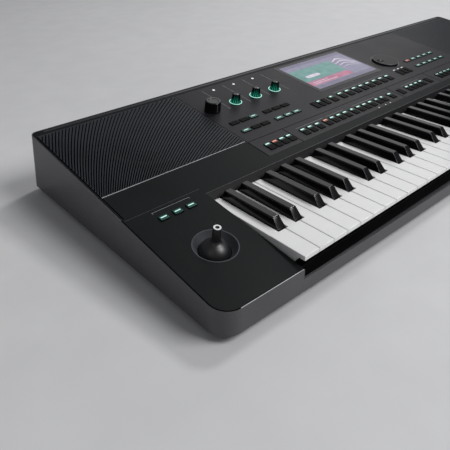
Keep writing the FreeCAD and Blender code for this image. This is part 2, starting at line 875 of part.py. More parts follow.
def joystick():
    """Bowl, base with two arms, gimbal and stick, drawn about the stick's pivot."""
    p = -pivot_depth
    r, t = dome_sphere, dome_wall
    seat = math.sqrt(r * r - (pivot_depth - bowl_depth) ** 2) + bowl_seat
    skirt = -base_depth
    bowl = revolve([(bowl_radius - bowl_rim, bowl_flange_height),
                    (bowl_radius + bowl_flange, bowl_flange_height), (bowl_radius + bowl_flange, 0.0),
                    (bowl_radius, 0.0), (bowl_radius, skirt), (bowl_radius - bowl_skirt, skirt),
                    (bowl_radius - bowl_skirt, -bowl_depth - bowl_rim),
                    (seat + bowl_seat, -bowl_depth - bowl_rim),
                    (seat, -bowl_depth), (bowl_radius - bowl_rim, 0.0)])
    base = cylinder(bowl_radius, 0.0, 0.0, skirt - base_thickness, skirt)
    arms = [box(min(s * arm_inner, s * arm_outer), max(s * arm_inner, s * arm_outer), -arm_half, arm_half,
                skirt, p + arm_top) for s in (-1, 1)]
    base = fuse([base] + arms).cut(pin_x(pin_radius + pin_clearance, -r, r, 0.0, p))
    ring = box(-gimbal_half_x, gimbal_half_x, -gimbal_half_y, gimbal_half_y,
               p - gimbal_half_z, p + gimbal_half_z)
    hole = box(-gimbal_hole_x, gimbal_hole_x, -gimbal_hole_y, gimbal_hole_y, -big, big)
    ring = ring.cut(hole)
    reach = arm_outer - pin_play
    ring = fuse([ring, pin_x(pin_radius, -reach, -gimbal_hole_x - pin_play, 0.0, p),
                 pin_x(pin_radius, gimbal_hole_x + pin_play, reach, 0.0, p)])
    ring = ring.cut(pin_y(pin_radius + pin_clearance, 0.0, -r, r, p))
    dome = Part.makeSphere(r, V(0, 0, p)).cut(Part.makeSphere(r - t, V(0, 0, p)))
    dome = dome.cut(box(-big, big, -big, big, -big, p - dome_skirt))
    shaft = cylinder(stick_core, 0.0, 0.0, p - gimbal_half_z, p + r - t / 2)
    start = p + r - t / 2
    lever = Part.makeCone(stick_base_radius, stick_top_radius, stick_height - start, V(0, 0, start))
    pins = pin_y(pin_radius, 0.0, -gimbal_half_y + pin_play, gimbal_half_y - pin_play, p)
    stick = fuse([dome, shaft, lever, pins])
    x, v = cheek_x(stick_share), stick_row / math.cos(slope)
    parts = []
    for shape in (bowl, base, ring, stick):
        shape.translate(V(x, v, 0))
        parts.append(on_panel(shape))
    return parts


def rear_parts():
    """The socket plate in the rear wall and the power switch in it."""
    x0, x1, z0, z1 = jack_window()
    c, length = panel_clearance, jack_plate_length
    inner = rear_y - wall
    mid = (z0 + z1) / 2
    plate = box(x0 + c, x1 - c, inner - jack_flange_thickness, rear_y, z0 + c, z1 - c)
    flange = box(x0 - jack_flange, x1 + jack_flange, inner - jack_flange_thickness, inner,
                 z0 - jack_flange, z1 + jack_flange)
    h, back = jack_body_side / 2, inner - jack_flange_thickness - jack_body_depth
    bodies = [box(x0 + s * length - h, x0 + s * length + h, back, inner, mid - h, mid + h)
              for s in jack_shares + usb_shares + [inlet_share]]
    plate = fuse([plate, flange] + bodies)
    cuts = [pin_y(jack_bore, x0 + s * length, rear_y - socket_depth, rear_y + wall, mid)
            for s in jack_shares]
    deep = rear_y - socket_depth
    for shares, w, h in (([inlet_share], inlet_width, inlet_height), (usb_shares, usb_width, usb_height)):
        for s in shares:
            x = x0 + s * length
            cuts.append(box(x - w / 2, x + w / 2, deep, rear_y + wall, mid - h / 2, mid + h / 2))
    xs = x0 + switch_share * length
    w, h = switch_width / 2, switch_height / 2
    cuts.append(box(xs - w - c, xs + w + c, back, rear_y + wall, mid - h - c, mid + h + c))
    plate = plate.cut(cuts)
    lip = inner - jack_flange_thickness - switch_gap
    switch = fuse([box(xs - w, xs + w, lip - switch_flange, rear_y - seam + switch_gap, mid - h, mid + h),
                   box(xs - w - switch_flange, xs + w + switch_flange, lip - switch_flange, lip,
                       mid - h - switch_flange, mid + h + switch_flange)])
    return plate, switch


def boards():
    """Main board and power amplifier board on the floor's standoffs."""
    low = floor_top + standoff_height
    top = low + board_thickness
    x0, x1, y0, y1 = main_board_box()
    main = [box(x0, x1, y0, y1, low, top)]
    for i in range(3):
        x = x0 + (i + 0.5) * (x1 - x0) / 3
        main.append(box(x - chip_side / 2, x + chip_side / 2, (y0 + y1) / 2 - chip_side / 2,
                        (y0 + y1) / 2 + chip_side / 2, top, top + chip_height))
    x0, x1, y0, y1 = amp_board_box()
    amp = [box(x0, x1, y0, y1, low, top)]
    xm, ym = (x0 + x1) / 2, (y0 + y1) / 2
    pitch = sink_width / sink_fins
    w = sink_width / 2
    amp.append(box(xm - chip_side, xm + chip_side, ym - w, ym + w, top, top + chip_height))
    for i in range(sink_fins):
        y = ym - sink_width / 2 + i * pitch
        amp.append(box(xm - chip_side, xm + chip_side, y, y + sink_fin, top, top + sink_height))
    return fuse(main), fuse(amp)


def rubber_feet():
    x, y = half_length - foot_inset, half_depth - foot_inset
    places = [(sx * x, sy * y) for sx in (-1, 0, 1) for sy in (-1, 1)]
    return [cylinder(foot_radius, a, b, 0.0, foot_height) for a, b in places]


def case_screws():
    screws = []
    for x, y in screw_places():
        head = cylinder(screw_head_radius, x, y, foot_height, foot_height + screw_head)
        shaft = cylinder(screw_radius, x, y, foot_height, foot_height + screw_head + screw_reach)
        screws.append(fuse([head, shaft]))
    return screws


def save(name, shapes):
    shapes = shapes if isinstance(shapes, list) else [shapes]
    solids = [s for shape in shapes for s in shape.Solids]
    result = solids[0] if len(solids) == 1 else Part.makeCompound(solids)
    result.exportStep(f"parts/{name}.step")


os.makedirs("parts", exist_ok=True)
save("bottom_case", bottom_case())
save("top_case", top_case())
save("control_panel", control_panel())
save("speaker_grille_left", grille(-1))
save("speaker_grille_right", grille(1))
basket_list, cone_list = speakers()
save("speaker_baskets", basket_list)
save("speaker_cones", cone_list)
save("key_bed", key_bed())
save("key_pivot_rod", key_pivot_rod())
felt_strip, contact_board, contact_rubber, spring_list = key_strips()
save("key_stop_felts", felt_strip)
save("key_contact_board", contact_board)
save("key_contact_rubber", contact_rubber)
save("key_return_springs", spring_list)
main_board, amp_board = boards()
save("main_board", main_board)
save("power_amp_board", amp_board)
save("panel_board", panel_board())
save("display_panel", display_panel())
save("display_glass", display_glass())
socket_plate, power_switch = rear_parts()
save("rear_jacks", socket_plate)
save("power_switch", power_switch)
save("rubber_feet", rubber_feet())
save("case_screws", case_screws())
bowl_shape, base_shape, gimbal_shape, stick_shape = joystick()
save("joystick_bowl", bowl_shape)
save("joystick_base", base_shape)
save("joystick_gimbal", gimbal_shape)
save("joystick_stick", stick_shape)
save("potentiometers", potentiometers())
save("knob_light_rings", knob_light_rings())
for knob_name, knob_shape in knobs().items():
    save(knob_name, knob_shape)
for number, (bx, bv) in enumerate(cheek_buttons()):
    button = cap(bx, bv, cheek_button_width, cheek_button_length, deck_thickness)
    save(f"cheek_button_{number + 1}", on_panel(button))
groups = {}
for row_name, bx, bv, bw, bl in button_rows():
    groups.setdefault(row_name, []).append(on_panel(cap(bx, bv, bw, bl, panel_thickness)))
for row_name, caps in groups.items():
    save(row_name, caps)
for key_name, key_shapes in key_nodes().items():
    save(key_name, key_shapes)
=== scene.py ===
import math
import bpy
import numpy as np
from mathutils import Matrix, Vector


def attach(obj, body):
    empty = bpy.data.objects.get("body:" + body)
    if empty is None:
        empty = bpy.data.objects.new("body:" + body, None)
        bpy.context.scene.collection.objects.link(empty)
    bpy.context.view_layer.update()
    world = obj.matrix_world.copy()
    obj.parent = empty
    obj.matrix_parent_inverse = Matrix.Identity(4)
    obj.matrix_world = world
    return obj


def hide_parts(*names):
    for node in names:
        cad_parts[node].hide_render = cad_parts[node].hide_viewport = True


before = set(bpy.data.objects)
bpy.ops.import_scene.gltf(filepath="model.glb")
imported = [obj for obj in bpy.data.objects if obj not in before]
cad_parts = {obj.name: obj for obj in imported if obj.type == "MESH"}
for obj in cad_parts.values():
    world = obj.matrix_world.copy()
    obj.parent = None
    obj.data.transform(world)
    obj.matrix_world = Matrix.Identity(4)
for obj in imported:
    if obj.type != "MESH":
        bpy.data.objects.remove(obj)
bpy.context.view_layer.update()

# Sizes in millimetres. The sloping top starts at the front edge and rises to the rear.
MM = 0.001
SLOPE = math.radians(7.8)
FRONT_Y = -192.2
FRONT_HEIGHT = 37.8
FRONT_BOW = 6.0
BOW_HALF = 510.0
CORNER = 22.0
CHEEK_INNER = 425.5
SIDES = (-1, 1)

# Keys
OCTAVE = 164.5
OCTAVES = 5
WHITES = (0, 2, 4, 5, 7, 9, 11)
SLOT_NAMES = ("c", "c_sharp", "d", "d_sharp", "e", "f", "f_sharp", "g", "g_sharp", "a", "a_sharp", "b")
WHITE_PITCH = OCTAVE / len(WHITES)
TAIL_PITCH = OCTAVE / len(SLOT_NAMES)
KEY_LEFT = -(OCTAVES * OCTAVE + WHITE_PITCH) / 2
E_INDEX = 2
F_INDEX = 3
KEY_GAP = 0.45
KEY_SETBACK = 0.4
KEY_FRONT = FRONT_Y + KEY_SETBACK
KEY_LENGTH = 218.0
HEAD_LENGTH = 48.0
WHITE_TOP = 50.3
WHITE_LIP = 5.5
WHITE_EDGE = 0.9
NOTCH = 0.02
STEM_HALF = 3.0
STEM_START = 30.0
STEM_BOTTOM = 33.3
STEM_EDGE = 0.3
STEM_CORNER = 0.5
SKIRT = 1.5
SKIRT_BOTTOM = 36.0
SKIRT_FRONT = 8.0
SKIRT_SLOPE = 6.5
SKIRT_END = 110.0
SKIRT_EDGE = 0.1
BLACK_START = 50.5
BLACK_END = 141.0
BLACK_HEIGHT = 10.6
BLACK_SINK = 0.5
BLACK_FOOT = 12.7
BLACK_CREST = 9.6
BLACK_NOSE = 9.0
BLACK_TAIL = 3.0
BLACK_EDGE = 1.2
BLACK_CORNER = 0.9
BLACK_FULL_SHARE = 0.35
BLACK_FLAT_SHARE = 1.5
BLACK_TAIL_EDGE = 0.2
FASCIA_FRONT = 142.0
FASCIA_REAR = 149.5
FASCIA_BOTTOM = 51.3
FASCIA_SKIN = 0.15
FASCIA_FOOT = 0.2
FASCIA_HEAD = 0.05
FASCIA_GAP = 0.2

# Rounded blocks
RIM_SHARE = 1.6
LEAST_CORNER = 0.1

# Button caps and their lights
CAP_CORNER = 0.8
CAP_EDGE = 0.45
CAP_LIP = 0.8
FLANGE_TOP = -2.9
FLANGE_BOTTOM = -3.7
LENS_LIFT = 0.12
LENS_SINK = 0.3
LENS_CORNER = 1.0
LENS_CORNER_SHARE = 0.45
BAR_SHARE = 0.68
BAR_MOST = 8.4
BAR_ON_TALL = 2.2
BAR_ON_WIDE = 1.5
SQUARE = (4.4, 3.0)
PAIR = (2.4, 2.4)
PAIR_SHARE = 0.22
LIGHT_FROM_REAR = 2.6
LIGHT_OFF_MIDDLE = 0.6
GLOW_LIFT = 0.05
GLOW_MARGIN = 1.0
GLOW_LENGTH = 5.4
GLOW_FROM_REAR = 0.7

# Which lights burn, from left to right: g mint, r red, s a square mint one, d two small mint ones
LIGHTS = {
    "buttons_style": "grgg",
    "buttons_long_row": "gggrgggsgggssg",
    "buttons_voice": ".gggg.",
    "buttons_right_cluster": "ddddddddd",
    "buttons_under_screen": ".g.sgggggggg",
    "buttons_navigation": "...",
    "buttons_upper_left": "g..ggg..g...",
    "buttons_upper_right": "gggggrgggg",
    "cheek_button_1": "g",
    "cheek_button_2": "g",
    "cheek_button_3": "g",
}

# Knobs and dial. Profiles are pairs: inset or reach, then drop or height.
SMALL_KNOBS = ("assign_knob_1", "assign_knob_2", "assign_knob_3")
INDEX = math.radians(-97)
SHAFT = 3.0
SHAFT_BOTTOM = -8.5
KNOB_HEM = 0.3
CROWN_STEP_SHARES = (0.72, 0.66)
CROWN_SINK = (0.5, 0.6)
AXIS = 0.2
STRIPE_START_SHARE = 0.12
STRIPE_IN = 0.8
STRIPE_OUT = 0.1
RIB_CROWN = 0.35
RIB_CROWN_LAW = 12
RIB_FACE_SHARE = 0.6
VOLUME_CORE = {"radius": 11.5, "crown": 11.5, "low": 0.6, "edge": 0.7, "flare": 0.9}
VOLUME_RIB = {"radius": 12.1, "flare": 0.4, "low": 0.8, "count": 24, "width": 1.7, "deep": 1.5}
VOLUME_RIB_DROP = 0.6
VOLUME_STRIPE = {"radius": 12.2, "crown": 12.0, "low": 0.6, "width": 0.9}
VOLUME_STRIPE_DROP = 0.3
SMALL_CORE = {"radius": 5.5, "crown": 5.3, "low": 0.9, "edge": 0.3, "flare": 1.9}
SMALL_CORE_DROP = 1.0
SMALL_RIB = {"radius": 6.5, "flare": 1.6, "low": 1.2, "count": 12, "width": 1.9, "deep": 1.7}
LID_WIDTH = 9.8
LID_CORNER = 4.8
LID_EDGE = 0.3
LID_BOTTOM = 1.4
LID_TOP = 0.4
POINTER_OUT = 3.4
POINTER_LENGTH = 3.4
POINTER_WIDTH = 0.9
POINTER_CORNER_SHARE = 0.45
POINTER_EDGE_SHARE = 0.4
RING_RADIUS = 9.6
RING_HALF = 0.7
RING_RISE = 0.4
DIAL_LOW = 0.6
DIAL_HEM = 0.4
DIAL_RIM = ((0.0, 1.2), (0.25, 0.5), (0.8, 0.1), (1.4, 0.0))
DIAL_FACE_INSET = 2.2
DIAL_FACE_END = 0.3
DIMPLE_OUT = 15.0
DIMPLE_RADIUS = 8.0
DIMPLE_DEPTH = 1.5
DIMPLE_LAW = 1.5
# Pale ring over the dial's chamfer: a painted highlight
CHAMFER = ((1.3, -0.3), (0.3, -0.5), (0.25, -0.35), (0.75, 0.03), (1.3, 0.03))
# Black ring round the dial: a painted shadow of its gap
DIAL_GAP_SHADOW = ((0.4, -0.2), (2.2, -0.2), (2.2, 0.1), (0.4, 0.1))

# Joystick: heights from the sloping top, radii from the stick's axis, the stick's drops from its top
DISH_INNER = 18.2
DISH_WIDTH = 5.8
DISH_BOTTOM = -8.0
DISH_RISE = 8.25
DISH_LAW = 1.3
BOWL_FLOOR = -9.0
BOWL_BOTTOM = -27.0
BOWL_INNER = 22.0
BOWL_OUTER = 24.5
BOWL_RIM = ((25.4, 0.0), (25.4, 0.2), (25.1, 0.38), (24.5, 0.38))
PIVOT = -12.0
BALL = 18.0
BALL_WALL = 2.0
BALL_SKIRT = 3.0
NECK_FOOT = 7.2
NECK = 4.9
NECK_RISE = 3.6
BORE = 3.5
BORE_TOP = 12.0
STICK_TOP = 24.0
STICK_TIP = ((4.5, 0.8), (4.35, 0.3), (4.0, 0.1), (2.4, 0.1), (2.2, 1.4), (0.2, 1.6))
STICK_RING = ((2.3, 0.4), (4.2, 0.4), (4.2, 0.1), (3.9, 0.0), (2.5, 0.0), (2.3, 0.1))

# Screen: the picture's edges from the glass's middle, the rest from the picture's left and front.
# A box is left, right, front and rear. A ribbon is its start, rise and width.
SKIN = 0.02
SLAB_SINK = -0.2
GLASS_EDGE = 0.4
GLASS_CORNER = 2.0
PICTURE = (-82.0, 84.0, -47.5, 49.0)
PICTURE_TOP = 0.02
BLOCK_TOP = 0.04
MARK_TOP = 0.06
FOOTER = 11.0
HEADER = 10.0
BAND_FRONT = 30.0
BAND_FROM_REAR = 22.0
BAR_FRONT = 13.0
BAR_REAR = 28.0
SPLIT = 112.0
RIBBON_LEFT = 2.0
RIBBON_RIGHT = 1.0
RIBBONS = ((40.0, 7.0, 1.2), (49.0, 11.0, 2.0), (58.0, 15.0, 2.8), (67.0, 19.0, 3.6))
RIBBON_SWING = 1.6 * math.pi
RIBBON_END_SHARE = 0.25
PILL = (16.0, 52.0, 40.0, 49.0)
PILL_CORNER = 4.0
STROKES = ((8.0, 70.0, 17.0, 18.6), (8.0, 48.0, 22.0, 23.6))

# Printed marks and edges on the sloping top
FILM = 0.03
RULE_HALF = 0.25
RULE_ROW = (297.5, 366.0)
RULE_CORNER = 0.2
# White dots over the small knobs: print given a painted glow
KNOB_DOT_WIDTH = 4.6
KNOB_DOT_FRONT = 357.7
KNOB_DOT_REAR = 362.3
KNOB_DOT_TOP = 0.05
KNOB_DOT_CORNER = 2.2
SPOT_PLACES = (-44.4, -25.4, -11.6)
SPOT_HALF = 1.0
SPOT_ROW = (169.0, 171.0)
SPOT_CORNER = 0.95
SIGN_INSET = 1.6
SIGN_FRONT = 3.6
SIGN_REAR = 5.4
SIGN_CORNER = 0.8
ROW_RULE_OFF = 5.0
ROW_RULE_HALF = 0.2
THIN_CORNER = 0.15
BRACKET = ((-498.0, -445.8, 157.8, 158.2), (-497.8, -497.4, 155.6, 158.0), (-446.4, -446.0, 155.6, 158.0))
# Pale lines at the deck's creases: painted highlights
CREASE_MIDDLE = 477.5
CREASE_HALF = 52.0
CREASE_ROW = (163.2, 163.6)
FASCIA_CREASE_ROW = (151.5, 152.1)
CREASE_TOP = 0.04
# Black strips in the seams and grooves: painted shadow
SEAM_PLACE = 527.8
SEAM_HALF = 0.7
SEAM_ROW = (167.2, 374.0)
STRIP_SEAMS = (-302.0, -233.0, 30.0, 153.0, 302.0)
STRIP_SEAM_HALF = 0.65
STRIP_SEAM_ROW = (167.4, 208.6)
EDGE_SEAM_INSETS = (0.3, 1.6)
EDGE_SEAM_END = 166.0
WINDOW = (-257.3, -252.5, 296.4, 301.2)
WINDOW_TOP = 0.1
WINDOW_CORNER = 2.3
# Pale lines along the grille fronts and the cheek fronts: painted highlights
GRILLE_HIGHLIGHT_INSET = 1.0
GRILLE_HIGHLIGHT_ROW = (0.1, 0.8)
GRILLE_HIGHLIGHT_TOP = 0.2
GRILLE_HIGHLIGHT_CORNER = 0.25
FRONT_HIGHLIGHT_ROW = (0.15, 0.85)
FRONT_HIGHLIGHT_HEIGHTS = (-0.3, 0.06)
# Grey line along the deck's rear edge: a painted highlight
REAR_HIGHLIGHT_HALF = 515.0
REAR_HIGHLIGHT_ROW = (6.0, 2.0)
REAR_HIGHLIGHT_CORNER = 1.0

# Rows of buttons that a printed rule holds together, from the first to the last button under it
RULED = (("buttons_long_row", 0, 3), ("buttons_long_row", 4, 6), ("buttons_long_row", 8, 11),
         ("buttons_voice", 1, 4), ("buttons_under_screen", 4, 11))


def on_slope(points):
    """Points (x, distance up the slope, height over it) in mm, turned onto the sloping top, in metres."""
    x, v, w = np.moveaxis(np.asarray(points, float), -1, 0)
    y = FRONT_Y + v * math.cos(SLOPE) - w * math.sin(SLOPE)
    z = FRONT_HEIGHT + v * math.sin(SLOPE) + w * math.cos(SLOPE)
    return np.stack([x, y, z], -1) * MM


def from_slope(points):
    """The way back: metres in the part's frame to millimetres on the sloping top."""
    x, y, z = np.moveaxis(np.asarray(points, float) / MM, -1, 0)
    y, z = y - FRONT_Y, z - FRONT_HEIGHT
    v = y * math.cos(SLOPE) + z * math.sin(SLOPE)
    w = z * math.cos(SLOPE) - y * math.sin(SLOPE)
    return np.stack([x, v, w], -1)


def upright(points):
    """Points (x, y, z) in millimetres as they stand, in metres."""
    return np.asarray(points, float) * MM


def triangles(node):
    """A node's triangles on the sloping top, as an array of triangle, corner, coordinate."""
    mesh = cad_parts[node].data
    mesh.calc_loop_triangles()
    places = np.empty(len(mesh.vertices) * 3)
    mesh.vertices.foreach_get("co", places)
    corners = np.empty(len(mesh.loop_triangles) * 3, int)
    mesh.loop_triangles.foreach_get("vertices", corners)
    return from_slope(places.reshape(-1, 3)[corners.reshape(-1, 3)])


def extent(node):
    """Lowest and highest x, v and w of a node on the sloping top."""
    corners = triangles(node).reshape(-1, 3)
    return corners.min(0), corners.max(0)


def middle(node):
    """Centre of a node along x and up the slope."""
    low, high = extent(node)
    return (low[0] + high[0]) / 2, (low[1] + high[1]) / 2


def spans(low, high, gap=0.4):
    """Stretches that intervals cover together: sorted by start, a new one begins past the furthest end."""
    order = np.argsort(low)
    low, high = low[order], high[order]
    reach = np.maximum.accumulate(high)
    first = np.flatnonzero(np.concatenate([[True], low[1:] > reach[:-1] + gap]))
    last = np.concatenate([first[1:] - 1, [len(low) - 1]])
    return np.stack([low[first], reach[last]], 1)


def caps_of(node, skin=0.1):
    """Each button's top face as (x0, x1, v0, v1), front row first, with the height of the tops."""
    corners = triangles(node)
    top = corners[..., 2].max()
    faces = corners[(corners[..., 2] > top - skin).all(1)]
    low, high = faces.min(1), faces.max(1)
    caps = []
    for v0, v1 in spans(low[:, 1], high[:, 1]):
        row = (low[:, 1] > v0 - skin) & (high[:, 1] < v1 + skin)
        caps += [(x0, x1, v0, v1) for x0, x1 in spans(low[row, 0], high[row, 0])]
    return caps, top


def rounded_outline(width, length, corner, steps=4):
    """A rectangle with round corners: four quarter circles, each about its own corner's centre."""
    turn = np.linspace(0, math.pi / 2, steps)
    angle = (turn + np.arange(4)[:, None] * math.pi / 2).ravel()
    side = np.repeat([[1, 1], [-1, 1], [-1, -1], [1, -1]], steps, 0)
    centre = side * (np.array([width, length]) / 2 - corner)
    return centre + corner * np.stack([np.cos(angle), np.sin(angle)], 1)


def soft_levels(low, high, edge, steps=4):
    """(inset, height) of a block's rings: straight up, then a quarter circle inwards, then flat."""
    turn = np.linspace(0, math.pi / 2, steps)
    bend = np.stack([edge * (1 - np.cos(turn)), high - edge * (1 - np.sin(turn))], 1)
    return np.concatenate([[[0, low]], bend, [[edge * RIM_SHARE, high]]])


def at_height(rim, height):
    """A plan of (x, v) points set at one height."""
    return np.column_stack([rim, np.full(len(rim), height)])


def rounded_block(x, v, width, length, levels, corner):
    """Rings of a rounded rectangle, each drawn in by its level's inset and set at its height."""
    rings = []
    for inset, height in levels:
        ring = rounded_outline(width - 2 * inset, length - 2 * inset, max(corner - inset, LEAST_CORNER))
        rings.append(at_height(ring + [x, v], height))
    return np.array(rings)


def turned(profile, x, v, steps=64):
    """A profile of (radius, height) carried round an axis: radius times cosine and sine of the angle."""
    profile = np.asarray(profile, float)
    angle = np.arange(steps) * 2 * math.pi / steps
    radius = np.broadcast_to(profile[:, :1], (len(profile), steps))
    height = np.broadcast_to(profile[:, 1:2], radius.shape)
    return np.stack([x + radius * np.cos(angle), v + radius * np.sin(angle), height], -1)


def inset_outline(outline, inset):
    """A polygon drawn in by moving each corner along the mitre of its two sides."""
    ahead = np.roll(outline, -1, 0) - outline
    ahead /= np.linalg.norm(ahead, axis=1)[:, None]
    normal = np.stack([-ahead[:, 1], ahead[:, 0]], 1)
    before = np.roll(normal, 1, 0)
    mitre = (normal + before) / (1 + (normal * before).sum(1))[:, None]
    return outline + inset * mitre


def polygon_block(outline, levels):
    """Rings of a polygon, each drawn in by its level's inset and set at its height."""
    outline = np.asarray(outline, float)
    return np.array([at_height(inset_outline(outline, inset), height) for inset, height in levels])


def slab(x0, x1, v0, v1, high, corner=0.4):
    """A thin rounded slab let into the sloping top and reaching up to a height."""
    levels = soft_levels(SLAB_SINK, high, SKIN)
    return rounded_block((x0 + x1) / 2, (v0 + v1) / 2, x1 - x0, v1 - v0, levels, corner)


def strip(x, half, row, high, corner):
    """A slab that reaches equally far to both sides of x, over a row from front to rear."""
    return slab(x - half, x + half, *row, high, corner)


def stack_faces(rings, count, start, loop):
    """Quads between neighbouring rings, and either a cap at each end or quads from the last to the first."""
    ring, step = np.meshgrid(np.arange(rings if loop else rings - 1), np.arange(count), indexing="ij")
    above, beside = (ring + 1) % rings, (step + 1) % count
    quads = np.stack([ring * count + step, ring * count + beside,
                      above * count + beside, above * count + step], -1)
    faces = (quads.reshape(-1, 4) + start).tolist()
    if not loop:
        faces.append((start + np.arange(count)[::-1]).tolist())
        faces.append((start + (rings - 1) * count + np.arange(count)).tolist())
    return faces


def piece(name, stacks, body, finish, stands_for=(), loop=False, place=on_slope, sharp=35):
    """Stacks of rings made one mesh, smooth but for its sharp edges, riding on a body."""
    points, faces, start = [], [], 0
    for stack in stacks:
        rings, count = stack.shape[:2]
        points.append(place(stack).reshape(-1, 3))
        faces += stack_faces(rings, count, start, loop)
        start += rings * count
    mesh = bpy.data.meshes.new(name)
    mesh.from_pydata(np.concatenate(points).tolist(), [], faces)
    mesh.shade_smooth()
    mesh.set_sharp_from_angle(angle=math.radians(sharp))
    mesh.materials.append(finish)
    made = bpy.data.objects.new(name, mesh)
    bpy.context.scene.collection.objects.link(made)
    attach(made, body)
    if stands_for:
        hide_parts(*stands_for)
    return made


# Materials

GRAIN_DETAIL = 3.0
CLOUD_DETAIL = 2.0
SHADE_RANGE = (0.1, 0.42)
GLOSS_RANGE = (0.25, 0.75)
BUMP_SHARE = 0.25
EDGE_SAMPLES = 4
LENS_DETAIL = 1.0
LENS_RANGE = (0.3, 0.7)
LENS_BODY = "#101414"
LENS_ROUGH = 0.3
KNOB_GRAIN = 1.5
KNOB_DETAIL = 2.0
KNOB_ROUGH = 0.32
KNOB_GLOW = 0.7
DRAWN = (0.05, 1.0, 1.0)
DRAWN_LINE = 0.8
DRAWN_DETAIL = 2.0
DRAWN_BUMP = 0.15
DRAWN_DEPTH = 0.1


def linear(code):
    """An sRGB hex value as linear red, green, blue and full opacity."""
    parts = [int(code[i:i + 2], 16) / 255 for i in (1, 3, 5)]
    return [p / 12.92 if p <= 0.04045 else ((p + 0.055) / 1.055) ** 2.4 for p in parts] + [1.0]


def add(tree, kind, inputs=(), **settings):
    """Adds a node, sets what it is given, and links the inputs that are other nodes' outputs."""
    node = tree.nodes.new(kind)
    for key, value in settings.items():
        setattr(node, key, value)
    for socket, value in dict(inputs).items():
        if isinstance(value, bpy.types.NodeSocket):
            tree.links.new(value, node.inputs[socket])
        else:
            node.inputs[socket].default_value = value
    return node


def new_finish(name):
    """An empty material with its node tree and the coordinates that its patterns follow."""
    material = bpy.data.materials.new(name)
    material.use_nodes = True
    tree = material.node_tree
    tree.nodes.clear()
    return material, tree, add(tree, "ShaderNodeTexCoord").outputs["Object"]


def moulded(name, dark, pale, grain, depth, gloss, edge=0.5, cloud=70.0, coat=0.0, shine=0.5):
    """Moulded or painted surface: a fine grain, a slow drift of shade and gloss, softly broken edges."""
    material, tree, here = new_finish(name)
    fine = add(tree, "ShaderNodeTexNoise", {
        "Vector": here, "Scale": 1 / (grain * MM), "Detail": GRAIN_DETAIL}).outputs["Fac"]
    slow = add(tree, "ShaderNodeTexNoise", {
        "Vector": here, "Scale": 1 / (cloud * MM), "Detail": CLOUD_DETAIL}).outputs["Fac"]
    both = add(tree, "ShaderNodeMath", {0: fine, 1: slow}, operation="MULTIPLY").outputs[0]
    shade = add(tree, "ShaderNodeMapRange", {
        "Value": both, "From Min": SHADE_RANGE[0], "From Max": SHADE_RANGE[1]}).outputs[0]
    tint = add(tree, "ShaderNodeMix", {
        "Factor": shade, "A": linear(dark), "B": linear(pale)}, data_type="RGBA").outputs["Result"]
    rough = add(tree, "ShaderNodeMapRange", {
        "Value": slow, "From Min": GLOSS_RANGE[0], "From Max": GLOSS_RANGE[1],
        "To Min": gloss[0], "To Max": gloss[1]}).outputs[0]
    round_edge = add(tree, "ShaderNodeBevel", {"Radius": edge * MM}, samples=EDGE_SAMPLES).outputs[0]
    relief = add(tree, "ShaderNodeBump", {
        "Height": fine, "Strength": depth, "Distance": grain * MM * BUMP_SHARE,
        "Normal": round_edge}).outputs[0]
    surface = add(tree, "ShaderNodeBsdfPrincipled", {
        "Base Color": tint, "Roughness": rough, "Normal": relief, "Coat Weight": coat,
        "Specular IOR Level": shine}).outputs[0]
    add(tree, "ShaderNodeOutputMaterial", {"Surface": surface})
    return material


def lit(name, core, rim, strength, grain=1.2):
    """Lit lens: the light wanders a little between two tints, under a glossy skin."""
    material, tree, here = new_finish(name)
    fine = add(tree, "ShaderNodeTexNoise", {
        "Vector": here, "Scale": 1 / (grain * MM), "Detail": LENS_DETAIL}).outputs["Fac"]
    shade = add(tree, "ShaderNodeMapRange", {
        "Value": fine, "From Min": LENS_RANGE[0], "From Max": LENS_RANGE[1]}).outputs[0]
    tint = add(tree, "ShaderNodeMix", {
        "Factor": shade, "A": linear(rim), "B": linear(core)}, data_type="RGBA").outputs["Result"]
    surface = add(tree, "ShaderNodeBsdfPrincipled", {
        "Base Color": linear(LENS_BODY), "Roughness": LENS_ROUGH, "Emission Color": tint,
        "Emission Strength": strength}).outputs[0]
    add(tree, "ShaderNodeOutputMaterial", {"Surface": surface})
    return material


def lit_knob(name, dark, pale, glow, reach):
    """Dark knob plastic with the ring's green light painted on as a glow, strongest at its foot and gone
    towards its top.
    """
    material, tree, here = new_finish(name)
    fine = add(tree, "ShaderNodeTexNoise", {
        "Vector": here, "Scale": 1 / (KNOB_GRAIN * MM), "Detail": KNOB_DETAIL}).outputs["Fac"]
    tint = add(tree, "ShaderNodeMix", {
        "Factor": fine, "A": linear(dark), "B": linear(pale)}, data_type="RGBA").outputs["Result"]
    start = on_slope([0.0, 0.0, 0.0])
    upward = on_slope([0.0, 0.0, 1.0 / MM]) - start
    rise = add(tree, "ShaderNodeVectorMath", {
        0: here, 1: tuple(upward)}, operation="DOT_PRODUCT").outputs["Value"]
    foot = float(start @ upward)
    fade = add(tree, "ShaderNodeMapRange", {
        "Value": rise, "From Min": foot, "From Max": foot + reach * MM,
        "To Min": KNOB_GLOW, "To Max": 0.0}).outputs[0]
    surface = add(tree, "ShaderNodeBsdfPrincipled", {
        "Base Color": tint, "Roughness": KNOB_ROUGH, "Emission Color": linear(glow),
        "Emission Strength": fade}).outputs[0]
    add(tree, "ShaderNodeOutputMaterial", {"Surface": surface})
    return material


